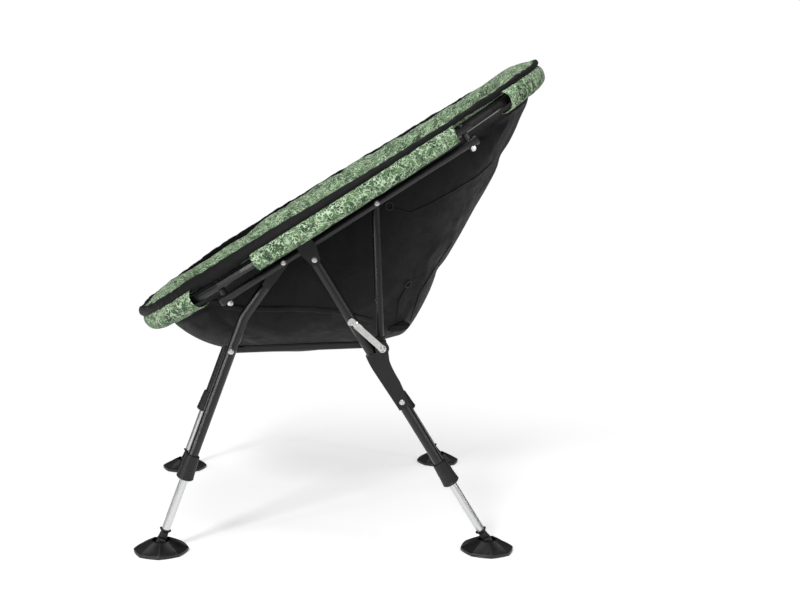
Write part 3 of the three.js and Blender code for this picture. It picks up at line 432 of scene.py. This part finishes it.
def black_cloth(name, pitch, tone):
    sh = Shader(name)
    threads = weave(sh, pitch)
    cloud = sh.noise(9, 5, 0.6, 0.4)
    crease = sh.noise(26, 5, 0.65, 1.2)
    color = sh.ramp(cloud, [(0.3, srgb(0.040 * tone, 0.040 * tone, 0.043 * tone)),
                            (0.75, srgb(0.070 * tone, 0.070 * tone, 0.074 * tone))])
    fine = sh.bump(threads, 0.35, 0.0003)
    rough = sh.ramp(crease, [(0.3, 0.58), (0.7, 0.74)])
    return sh.set(color=color, rough=rough, specular=0.2, sheen=0.02, sheen_rough=0.45,
                  normal=sh.bump(crease, 0.5, 0.004, fine))


def mottled_cloth():
    """Generic mottled greens: soft dark clouds, mid green drifts and pale broken flecks."""
    sh = Shader("green_mottled")
    warp = sh.noise(55, 3, output="Color")
    bent = sh.add("ShaderNodeVectorMath", {0: warp, 1: (0.022, 0.022, 0.022), 2: sh.place},
                  operation="MULTIPLY_ADD").outputs[0]
    clouds = sh.noise(44, 5, 0.6, 0.9, bent)
    drift = sh.noise(120, 4, 0.6, 0.7, bent)
    cells = sh.add("ShaderNodeTexVoronoi", {"Vector": bent, "Scale": 170}, feature="DISTANCE_TO_EDGE")
    flecks = sh.ramp(cells.outputs["Distance"], [(0.03, 1.0), (0.15, 0.0)])
    broken = sh.ramp(sh.noise(95, 5, 0.75, 0.6, bent), [(0.45, 0.0), (0.54, 1.0)])
    pale = sh.math("MULTIPLY", flecks, broken)
    base = sh.ramp(clouds, [(0.38, srgb(0.17, 0.25, 0.17)), (0.46, srgb(0.25, 0.355, 0.24)),
                            (0.54, srgb(0.36, 0.47, 0.33)), (0.68, srgb(0.46, 0.57, 0.415))])
    shade = sh.ramp(drift, [(0.42, 0.74), (0.60, 1.12)])
    color = sh.mix(pale, sh.mix(1.0, base, shade, "MULTIPLY"), srgb(0.78, 0.86, 0.74))
    threads = weave(sh, 0.0010)
    crease = sh.noise(40, 4, 0.6, 0.8)
    fine = sh.bump(threads, 0.3, 0.0003)
    return sh.set(color=color, rough=0.82, specular=0.25, sheen=0.04, sheen_rough=0.5,
                  normal=sh.bump(crease, 0.3, 0.003, fine))


PAINT = black_paint()
PLASTIC = black_plastic()
RUBBER = black_rubber()
ZINC = zinc()
CLOTH = black_cloth("black_woven", 0.0011, 1.0)
BINDING = black_cloth("black_binding", 0.0016, 0.9)
CLOTH_EDGE = black_cloth("black_edging", 0.0013, 1.25)
GREEN = mottled_cloth()
ALU = {"front": aluminium("drawn_aluminium_front", math.radians(-19.6)),
       "rear": aluminium("drawn_aluminium_rear", math.radians(32.13))}

# Every node without a row here is a bright bolt, pin or latch
LOOKS = {"rim_front": PAINT, "rim_rear": PAINT, "rail": PAINT, "front_leg": PAINT, "strut": PAINT,
         "rear_leg": PAINT, "link_bar": PAINT, "brace": PAINT, "brace_bracket": PAINT,
         "knuckle": PLASTIC, "strut_end": PLASTIC, "front_collar": PLASTIC, "rear_collar": PLASTIC,
         "front_ankle": PLASTIC, "rear_ankle": PLASTIC, "front_foot": RUBBER, "rear_foot": RUBBER,
         "front_inner_leg": ALU["front"], "rear_inner_leg": ALU["rear"]}


def paint_above_rail(node):
    """The spacer and head of a rim bolt are black above the rail; its nut below stays bright."""
    _, start_y, start_z = world((0, 0, 0))
    node.data.materials.append(PAINT)
    for face in node.data.polygons:
        at = node.matrix_world @ face.center
        rise = (at.z - start_z) * math.cos(PITCH) - (at.y - start_y) * math.sin(PITCH)
        face.material_index = 1 if rise > 0 else 0


for name, node in frame["nodes"].items():
    base = name.removesuffix("_left").removesuffix("_right")
    node.data.materials.clear()
    node.data.materials.append(LOOKS.get(base, ZINC))
    if base.startswith("rim_bolt"):
        paint_above_rail(node)

# Seat pad
PAD_RINGS, PAD_INSET = 36, 28.0
# The top's lift over the bowl, and its further rise from this share outward to the crown
PAD_LIFT, PAD_RISE, PAD_RISE_FROM = 8.0, 24.0, 0.86
# The underside's height above the pouch at the edge, and what is added by this share further in
PAD_GAP, PAD_GAP_INSIDE, PAD_GAP_SHARE = 6.0, 11.0, 0.2
PAD_SEAMS, PAD_SEAM_DEPTH = (0.44, 0.78), 5.0
# The crown's first ring that lies under the band
CROWN_UNDER = 8


def crown_edge(angle):
    """How far the crown stands out past the rim: more at the front and the rear."""
    return 1.0 + 13.0 * np.sin(angle) ** 4


def crown_rings(angle):
    """Rings over the crown's top, down its outside and back under to the bowl's edge."""
    edge = crown_edge(angle)
    profile = [(84, 41), (72, 46.5), (58, 50), (42, 52.5), (27, 53.5), (13, 53.5), (3 - edge * 0.6, 52),
               (-edge, 50), (-edge * 0.8, 46), (4, 42), (14, 39), (34, 33)]
    return [rim(angle, inset, height) for inset, height in profile]


def build_pad():
    spread, angles, faces, border = concentric(PAD_RINGS)
    top = bowl(angles, spread, PAD_INSET)
    outer = np.clip((spread - PAD_RISE_FROM) / (1 - PAD_RISE_FROM), 0, 1)
    top[:, 2] += PAD_LIFT + PAD_RISE * outer ** 2
    points, all_faces = [top], list(faces)
    crown = add_rings(points, all_faces, border, crown_rings(angles[border]))
    under = sum(len(p) for p in points)
    gap = PAD_GAP + PAD_GAP_INSIDE * np.clip((1 - spread) / PAD_GAP_SHARE, 0, 1)
    points.append(bowl_lifted(angles, spread, gap))
    all_faces += [tuple(under + i for i in reversed(f)) for f in faces]
    all_faces += join_loops(crown[-1], [under + b for b in border])
    flat = np.concatenate(points)
    sewn = set(range(under, len(flat))).union(border, *crown[CROWN_UNDER:])
    for seam in PAD_SEAMS:
        sewn.update(on_ring(spread, seam, PAD_RINGS))
    sewn = sorted(sewn.union(on_eighths(angles, spread > PAD_SEAMS[0])))
    flat[[i for i in sewn if i < len(top)], 2] -= PAD_SEAM_DEPTH
    pad = make_object("seat_pad", world(flat), all_faces, "seat_frame", GREEN)
    drape(pad, sewn, pressure=5.0, shrink=-0.035, frames=20, cap=0.014, stiffness=15.0, bending=0.5)
    add_modifier(pad, "SUBSURF", levels=1, render_levels=1)
    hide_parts("seat_cover")


# Black binding band round the crown: its section as (outward, share of the way up)
BAND_POINTS, BAND_RIB, BAND_INSET = 900, 0.35, 1.5
BAND_SECTION = [(-1.0, 0.0), (-2.6, 0.12), (-3.4, 0.32), (-3.2, 0.55), (-2.4, 0.8), (-0.4, 1.0),
                (2.4, 0.93), (3.2, 0.5), (2.4, 0.1)]


def band_limits(angle):
    """Lower and upper edge of the band: deep at the front, narrow along the sides and the rear."""
    along = rim(angle)[..., 1]
    low = np.interp(along, [-170, 20, 110, 540, 620, 760], [40, 37, 42.5, 44.5, 42, 43])
    high = np.interp(along, [-170, 0, 120, 400, 600, 760], [60, 67, 65, 59, 57, 55])
    return low, high


def build_band():
    angle = np.linspace(0, 2 * math.pi, BAND_POINTS, endpoint=False)
    low, high = band_limits(angle)
    ribs = np.where(np.arange(BAND_POINTS) % 2, BAND_RIB, -BAND_RIB)
    rings = []
    for out, up in BAND_SECTION:
        height = low + (high - low) * up
        bulge = np.interp(height, [34, 47, 53, 59, 64], [-6, 0, 1, -2, -8])
        rings.append(rim(angle, -crown_edge(angle) - bulge + out - BAND_INSET + ribs, height))
    points = world(np.stack(rings, 1).reshape(-1, 3))
    pucker = fold_noise(points, 0.016, 3.0, 3) * 0.0016
    wave = fold_noise(points, 0.07, 5.0, 2) * 0.0022
    normal = np.array([0, -math.sin(PITCH), math.cos(PITCH)])
    points = points + (pucker + wave)[:, None] * normal
    outward = points - np.array([0, points[:, 1].mean(), points[:, 2].mean()])
    outward /= np.linalg.norm(outward, axis=1, keepdims=True)
    points = points + (fold_noise(points, 0.012, 9.0, 3) * 0.0011)[:, None] * outward
    faces = grid_faces(BAND_POINTS, len(BAND_SECTION), close_rows=True, close_columns=True)
    band = make_object("crown_binding", points, faces, "seat_frame", BINDING)
    add_modifier(band, "SUBSURF", levels=1, render_levels=1)


# Sleeves and hoods on the rim tube: sections as (outward, up) from its middle, ends along the rail
SLEEVE_SECTION = [(-13, 19), (-6, 20.5), (0, 20.5), (6, 18.5), (10.5, 14), (12.4, 7), (12.4, 0),
                  (11.6, -6), (9, -11), (4, -14), (-2, -14.5), (-8, -12), (-12, -6), (-14, 2), (-15, 10)]
HOOD_SECTION = [(-16, 20), (-6, 20.5), (3, 20), (10, 17.5), (15.5, 12), (18, 5), (18, -2),
                (16, -9), (12, -15), (6, -19), (-2, -21), (-10, -20.5), (-17, -17)]
SLEEVE_ENDS, SLEEVE_POINTS = (84, 538), 130
HOOD_ENDS, HOOD_POINTS = (-40, 640), 150
CLOTH_THICKNESS = 0.0016


def swept_cloth(name, angles, section, seed, wrinkle, skew=None):
    """Green cloth round the rim tube, with wrinkles of that height in metres."""
    rows = []
    for i, (out, up) in enumerate(section):
        turn = skew(i / (len(section) - 1), len(angles)) if skew else 0.0
        rows.append(rim(angles + turn, -out, RIM_HEIGHT + up))
    points = world(np.stack(rows, 1).reshape(-1, 3))
    bumps = (fold_noise(points, 0.03, seed, 3) * wrinkle
             + fold_noise(points, 0.011, seed + 4, 2) * wrinkle * 0.4)
    centre = world(np.repeat(rim(angles), len(section), axis=0))
    direction = points - centre
    direction /= np.maximum(np.linalg.norm(direction, axis=1, keepdims=True), 1e-9)
    points = points + bumps[:, None] * direction
    faces = grid_faces(len(angles), len(section))
    piece = make_object(name, points, faces, "seat_frame", GREEN)
    add_modifier(piece, "SOLIDIFY", thickness=CLOTH_THICKNESS, offset=0.0)
    add_modifier(piece, "SUBSURF", levels=1, render_levels=1)
    return piece


def rim_angle(along):
    """Angle on the rim's left half at a place along the rail."""
    fine = np.linspace(-math.pi / 2, math.pi / 2, 2000)
    return np.interp(along, rim(fine)[:, 1], fine)


def slanted_ends(side):
    """Moves the sleeve's ends round the rim with the height on its section: the lower edge is the shorter."""
    def shift(share_round, count):
        drop = math.sin(math.pi * min(share_round / 0.9, 1.0))
        ends = np.linspace(0, 1, count)
        front = 0.010 * drop * np.clip(1 - ends / 0.25, 0, 1)
        rear = -0.055 * drop * np.clip((ends - 0.8) / 0.2, 0, 1)
        return side * (front + rear)
    return shift


def build_sleeves():
    left = rim_angle(np.linspace(*SLEEVE_ENDS, SLEEVE_POINTS))
    for side, word, angles in ((1, "left", left), (-1, "right", math.pi - left)):
        piece = swept_cloth(f"rail_sleeve_{word}", angles, SLEEVE_SECTION, 11 + side, 0.0013,
                            slanted_ends(side))
        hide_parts(f"rim_sleeve_{word}")


def build_hoods():
    front, rear = rim_angle(HOOD_ENDS)
    swept_cloth("front_hood", np.linspace(-math.pi - front, front, HOOD_POINTS), HOOD_SECTION, 21, 0.0016)
    swept_cloth("rear_hood", np.linspace(rear, math.pi - rear, HOOD_POINTS), HOOD_SECTION, 27, 0.0016)


# Fabric shell under the pad
SHELL_RINGS, SHELL_SEAM, SHELL_THICKNESS = 40, 0.56, 0.0015
# Its upper edge inside the crown: (inset from the rim, height), after a first ring at the bowl's own edge
SHELL_EDGE_OUT, SHELL_EDGE_HEIGHT = 7.0, 6.0
SHELL_EDGE = [(34, 22), (22, 30), (15, 38)]


def build_shell():
    spread, angles, faces, border = concentric(SHELL_RINGS)
    points, all_faces = [bowl(angles, spread)], list(faces)
    around = angles[border]
    first = bowl_lifted(around, np.ones(len(around)), -SHELL_EDGE_OUT)
    first[:, 2] = SHELL_EDGE_HEIGHT
    edges = [first] + [rim(around, inset, height) for inset, height in SHELL_EDGE]
    add_rings(points, all_faces, border, edges)
    flat = np.concatenate(points)
    seam = round(SHELL_SEAM * SHELL_RINGS) / SHELL_RINGS
    corners = (spread > seam) & (np.round(angles / (math.pi / 4)) % 2 == 1)
    pins = set(range(len(spread), len(flat)))
    pins.update(on_ring(spread, SHELL_SEAM, SHELL_RINGS), on_eighths(angles, corners))
    shell = make_object("seat_pouch", world(flat), all_faces, "seat_frame", CLOTH)
    drape(shell, sorted(pins), pressure=0.7, shrink=-0.02, frames=16, cap=0.005,
          stiffness=12.0, bending=0.2)
    add_modifier(shell, "SOLIDIFY", thickness=SHELL_THICKNESS, offset=0.0)
    add_modifier(shell, "SUBSURF", levels=1, render_levels=1)
    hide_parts("seat_shell")
    return shell


# Hem, seams, eyelets and the gather on the pouch, found where the photograph's pixels meet it
EYELET_RADIUS, EYELET_WIRE = 0.0075, 0.0014
EYELET_POINTS, WIRE_POINTS = 36, 10
GATHER_SIZE, GATHER_TURN = (0.011, 0.022, 0.010), math.radians(12)


def pixel_hit(pixel, tree):
    """Place and normal where the photograph's ray through a pixel meets the tree's surface."""
    across = (pixel[0] - PHOTO_SIZE[0] / 2) / PHOTO_SIZE[0] * SENSOR / LENS
    rise = (PHOTO_SIZE[1] / 2 - pixel[1]) / PHOTO_SIZE[0] * SENSOR / LENS
    ray = (FORWARD + RIGHT * across + UP * rise).normalized()
    place, normal, _, _ = tree.ray_cast(CAMERA_AT, ray)
    if place is None:
        return None
    return place, normal if normal.dot(ray) < 0 else -normal


def pixel_hits(pixels, tree):
    """Places and normals on the pouch's near side under a run of photo pixels."""
    hits = []
    for k in range(len(pixels) - 1):
        for i in range(PIXEL_STEPS + (k == len(pixels) - 2)):
            t = i / PIXEL_STEPS
            px = pixels[k][0] * (1 - t) + pixels[k + 1][0] * t
            py = pixels[k][1] * (1 - t) + pixels[k + 1][1] * t
            hit = pixel_hit((px, py), tree)
            if hit:
                hits.append(hit)
    return hits


def on_side(points, word):
    """Points found on the left side, mirrored when the piece is the right one."""
    return [Vector((-p.x, p.y, p.z)) for p in points] if word == "right" else points


def build_ribbon(name, word, hits, width, thick, ruffle, seed):
    """A raised strip sewn along the places: a flat oval section, with puckers along it."""
    section = [(math.cos(a), math.sin(a)) for a in np.linspace(0, 2 * math.pi, 10, endpoint=False)]
    points = []
    for i, (place, normal) in enumerate(hits):
        ahead = hits[min(i + 1, len(hits) - 1)][0] - hits[max(i - 1, 0)][0]
        side = ahead.normalized().cross(normal).normalized()
        wave = ruffle * noise.fractal(Vector((i * 0.21 + seed, seed, 0.3)), 1.0, 2.0, 3)
        for c, d in section:
            points.append(place + side * (c * width / 2 + wave)
                          + normal * (d * thick + thick * 0.3 + wave * 0.5))
    rows, columns = len(hits), len(section)
    faces = grid_faces(rows, columns, close_columns=True)
    faces += [tuple(range(columns)), tuple(reversed(range((rows - 1) * columns, rows * columns)))]
    piece = make_object(f"{name}_{word}", on_side(points, word), faces, "seat_frame", CLOTH_EDGE)
    add_modifier(piece, "SUBSURF", levels=1, render_levels=1)


def build_eyelet(name, word, place, normal):
    """A ring that lies on the cloth."""
    first = normal.orthogonal().normalized()
    second = normal.cross(first)
    points = []
    for a in np.linspace(0, 2 * math.pi, EYELET_POINTS, endpoint=False):
        out = first * math.cos(a) + second * math.sin(a)
        for b in np.linspace(0, 2 * math.pi, WIRE_POINTS, endpoint=False):
            points.append(place + out * (EYELET_RADIUS + EYELET_WIRE * math.cos(b))
                          + normal * (EYELET_WIRE * (0.6 + math.sin(b))))
    make_object(f"{name}_{word}", on_side(points, word), grid_faces(EYELET_POINTS, WIRE_POINTS, True, True),
                "seat_frame", PLASTIC)


def build_gather(word, place, normal):
    """Bunched corner of the pouch: a small lump with deep folds."""
    bm = bmesh.new()
    bmesh.ops.create_icosphere(bm, subdivisions=5, radius=1.0)
    points = [Vector(v.co) for v in bm.verts]
    faces = [tuple(v.index for v in f.verts) for f in bm.faces]
    bm.free()
    turn = Matrix.Rotation(GATHER_TURN, 3, "X")
    placed = []
    for p in points:
        fold = 1 + 0.07 * math.sin(6 * math.atan2(p.z, p.x) + 2.5 * p.y) + 0.10 * noise.noise(p * 2.1)
        q = Vector((p.x * GATHER_SIZE[0], p.y * GATHER_SIZE[1], p.z * GATHER_SIZE[2])) * fold
        q.rotate(turn)
        placed.append(place + normal * 0.002 + q)
    make_object(f"pouch_gather_{word}", on_side(placed, word), faces, "seat_frame", CLOTH)


def build_pouch_details(pouch):
    bpy.context.view_layer.update()
    tree = BVHTree.FromObject(pouch, bpy.context.evaluated_depsgraph_get())
    for word in ("left", "right"):
        for k, (name, pixels, width, thick, ruffle) in enumerate(SEWN_STRIPS):
            hits = pixel_hits(pixels, tree)
            if len(hits) > 3:
                build_ribbon(name, word, hits, width, thick, ruffle, 3.0 + k)
        for k, pixel in enumerate(EYELET_PIXELS):
            hit = pixel_hit(pixel, tree)
            if hit:
                build_eyelet(f"pouch_eyelet_{k + 1}", word, *hit)
        hit = pixel_hit(GATHER_PIXEL, tree)
        if hit:
            build_gather(word, *hit)


# Strut rivet: its dome as (radius, rise over the tube) in millimetres
RIVET_DOME, RIVET_POINTS = [(3.0, -0.6), (3.0, 0.3), (2.4, 0.9), (1.2, 1.3), (0.05, 1.4)], 20


def build_rivets():
    """A low dome on each strut, above its end fitting."""
    hit = pixel_hit(STRUT_RIVET_PIXEL, BVHTree.FromObject(frame["nodes"]["strut_left"],
                                                          bpy.context.evaluated_depsgraph_get()))
    if hit is None:
        return
    turns = np.linspace(0, 2 * math.pi, RIVET_POINTS, endpoint=False)
    rows = len(RIVET_DOME)
    for side, word in ((1, "left"), (-1, "right")):
        points = [(side * (hit[0].x + rise / 1000), hit[0].y + wide * math.cos(a) / 1000,
                   hit[0].z + wide * math.sin(a) / 1000) for wide, rise in RIVET_DOME for a in turns]
        faces = grid_faces(rows, RIVET_POINTS, close_columns=True)
        faces += [tuple(range(RIVET_POINTS)), tuple(range((rows - 1) * RIVET_POINTS, len(points)))]
        make_object(f"strut_rivet_{word}", points, faces, f"strut_{word}", PAINT)


# Webbed rubber skirt over each foot's cone, in millimetres: it starts where the ankle has room to tilt
FOOT_RADIUS, FOOT_HUB_RADIUS, FOOT_TOP, FOOT_EDGE = 51.2, 12.8, 27.0, 7.0
FOOT_WEBS, FOOT_TURNS = 8, 128
FOOT_SHARES = (0.13, 0.19, 0.27, 0.4, 0.55, 0.7, 0.84, 0.95, 1)
WEB_DIP, WEB_SCALLOP, WEB_CREST = 2.4, 2.6, 1.3
SKIRT_THICKNESS = 0.001


def build_foot_skirts():
    """Sharp webs run down to the scalloped edge, and the rubber sags a little between them."""
    turns = np.linspace(0, 2 * math.pi, FOOT_TURNS, endpoint=False)
    between = np.abs(np.sin(FOOT_WEBS * turns / 2)) ** 0.75
    rows = []
    for share in FOOT_SHARES:
        bow = math.sin(math.pi * share) ** 0.8 if share < 1 else 0.0
        radius = FOOT_HUB_RADIUS + (FOOT_RADIUS - FOOT_HUB_RADIUS) * share - WEB_SCALLOP * between * share
        height = FOOT_TOP + (FOOT_EDGE - FOOT_TOP) * share ** 0.9
        rows.append((radius, height + bow * (WEB_CREST * (1 - between) - WEB_DIP * between)))
    edge_radius, edge_height = rows[-1]
    rows += [(edge_radius + 0.3, edge_height - 1.5), (edge_radius, 1.0), (edge_radius - 2.0, 0.4)]
    faces = grid_faces(len(rows), FOOT_TURNS, close_columns=True)
    for foot in ("front_foot", "rear_foot"):
        for side in ("left", "right"):
            low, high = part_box(f"{foot}_{side}")
            x, y = (low[0] + high[0]) / 2, (low[1] + high[1]) / 2
            points = [(x + r * math.cos(a) / 1000, y + r * math.sin(a) / 1000, z / 1000)
                      for radii, heights in rows
                      for r, z, a in zip(radii, np.broadcast_to(heights, turns.shape), turns)]
            skirt = make_object(f"{foot}_skirt_{side}", points, faces, f"{foot}_{side}", RUBBER)
            add_modifier(skirt, "SOLIDIFY", thickness=SKIRT_THICKNESS, offset=-1.0)


build_pad()
build_band()
build_rivets()
build_foot_skirts()
build_sleeves()
build_hoods()
build_pouch_details(build_shell())

# Floor and background, in metres: the floor turns white between these distances from the chair's middle
FLOOR_HALF, FLOOR_COLOR, FLOOR_GLOW = 6, (0.82, 0.82, 0.82, 1), 0.50
WHITE_FROM, WHITE_TO = 0.55, 1.15
SKY_LEVEL = 0.15


def floor_material():
    """Pale where the shadow falls, with a glow for the rays that see it, and plain white further out."""
    material = bpy.data.materials.new("pale_floor")
    material.use_nodes = True
    tree = material.node_tree
    tree.nodes.clear()
    rays = add_node(tree, "ShaderNodeLightPath").outputs
    seen = add_node(tree, "ShaderNodeMath", {0: rays["Is Camera Ray"], 1: rays["Is Glossy Ray"]},
                    operation="MAXIMUM").outputs[0]
    seen = add_node(tree, "ShaderNodeMath", {0: seen, 1: rays["Is Transmission Ray"]},
                    operation="MAXIMUM").outputs[0]
    strength = add_node(tree, "ShaderNodeMath", {0: seen, 1: FLOOR_GLOW}, operation="MULTIPLY").outputs[0]
    diffuse = add_node(tree, "ShaderNodeBsdfDiffuse", {"Color": FLOOR_COLOR}).outputs[0]
    glow = add_node(tree, "ShaderNodeEmission", {"Strength": strength}).outputs[0]
    near = add_node(tree, "ShaderNodeAddShader", {0: diffuse, 1: glow}).outputs[0]
    place = add_node(tree, "ShaderNodeTexCoord").outputs["Object"]
    far = add_node(tree, "ShaderNodeVectorMath", {0: place}, operation="LENGTH").outputs["Value"]
    edge = add_node(tree, "ShaderNodeMapRange", {"Value": far, "From Min": WHITE_FROM, "From Max": WHITE_TO},
                    interpolation_type="SMOOTHSTEP").outputs[0]
    white = add_node(tree, "ShaderNodeEmission").outputs[0]
    blend = add_node(tree, "ShaderNodeMixShader", {0: edge, 1: near, 2: white}).outputs[0]
    add_node(tree, "ShaderNodeOutputMaterial", {0: blend})
    return material


def build_floor():
    mesh = bpy.data.meshes.new("floor")
    corners = [(x * FLOOR_HALF, y * FLOOR_HALF, 0) for x, y in ((-1, -1), (1, -1), (1, 1), (-1, 1))]
    mesh.from_pydata(corners, [], [(0, 1, 2, 3)])
    floor = bpy.data.objects.new("floor", mesh)
    bpy.context.scene.collection.objects.link(floor)
    mesh.materials.append(floor_material())


def build_sky():
    sky = bpy.data.worlds.new("studio")
    bpy.context.scene.world = sky
    sky.use_nodes = True
    tree = sky.node_tree
    rays = add_node(tree, "ShaderNodeLightPath").outputs
    seen = add_node(tree, "ShaderNodeMath", {0: rays["Is Camera Ray"], 1: rays["Is Transmission Ray"]},
                    operation="MAXIMUM").outputs[0]
    level = add_node(tree, "ShaderNodeMapRange",
                     {"Value": seen, "To Min": SKY_LEVEL, "To Max": 1.0}).outputs[0]
    back = tree.nodes["Background"]
    back.inputs["Color"].default_value = (1, 1, 1, 1)
    put(tree, back.inputs["Strength"], level)


def area_light(name, place, target, size, power):
    data = bpy.data.lights.new(name, "AREA")
    data.shape = "RECTANGLE"
    data.size, data.size_y = size
    data.energy = power
    lamp = bpy.data.objects.new(name, data)
    bpy.context.scene.collection.objects.link(lamp)
    lamp.location = place
    lamp.rotation_euler = (Vector(target) - Vector(place)).to_track_quat("-Z", "Y").to_euler()


def build_camera():
    data = bpy.data.cameras.new("photo_camera")
    data.lens = LENS
    data.sensor_width = SENSOR
    camera = bpy.data.objects.new("photo_camera", data)
    bpy.context.scene.collection.objects.link(camera)
    camera.matrix_world = Matrix((
        (RIGHT.x, UP.x, -FORWARD.x, CAMERA_AT.x),
        (RIGHT.y, UP.y, -FORWARD.y, CAMERA_AT.y),
        (RIGHT.z, UP.z, -FORWARD.z, CAMERA_AT.z),
        (0, 0, 0, 1)))
    bpy.context.scene.camera = camera


build_floor()
build_sky()
area_light("key", (2.4, -1.4, 2.3), (0, 0, 0.5), (0.6, 0.6), 62)
area_light("fill", (1.6, 2.2, 1.3), (0, 0, 0.5), (0.5, 1.6), 14)
area_light("top", (0, 0, 3.0), (0, 0, 0), (2.4, 2.4), 34)
area_light("strip", (2.0, -2.3, 0.8), (0, 0, 0.45), (0.2, 1.9), 20)
build_camera()
bpy.context.scene.view_settings.view_transform = "Standard"
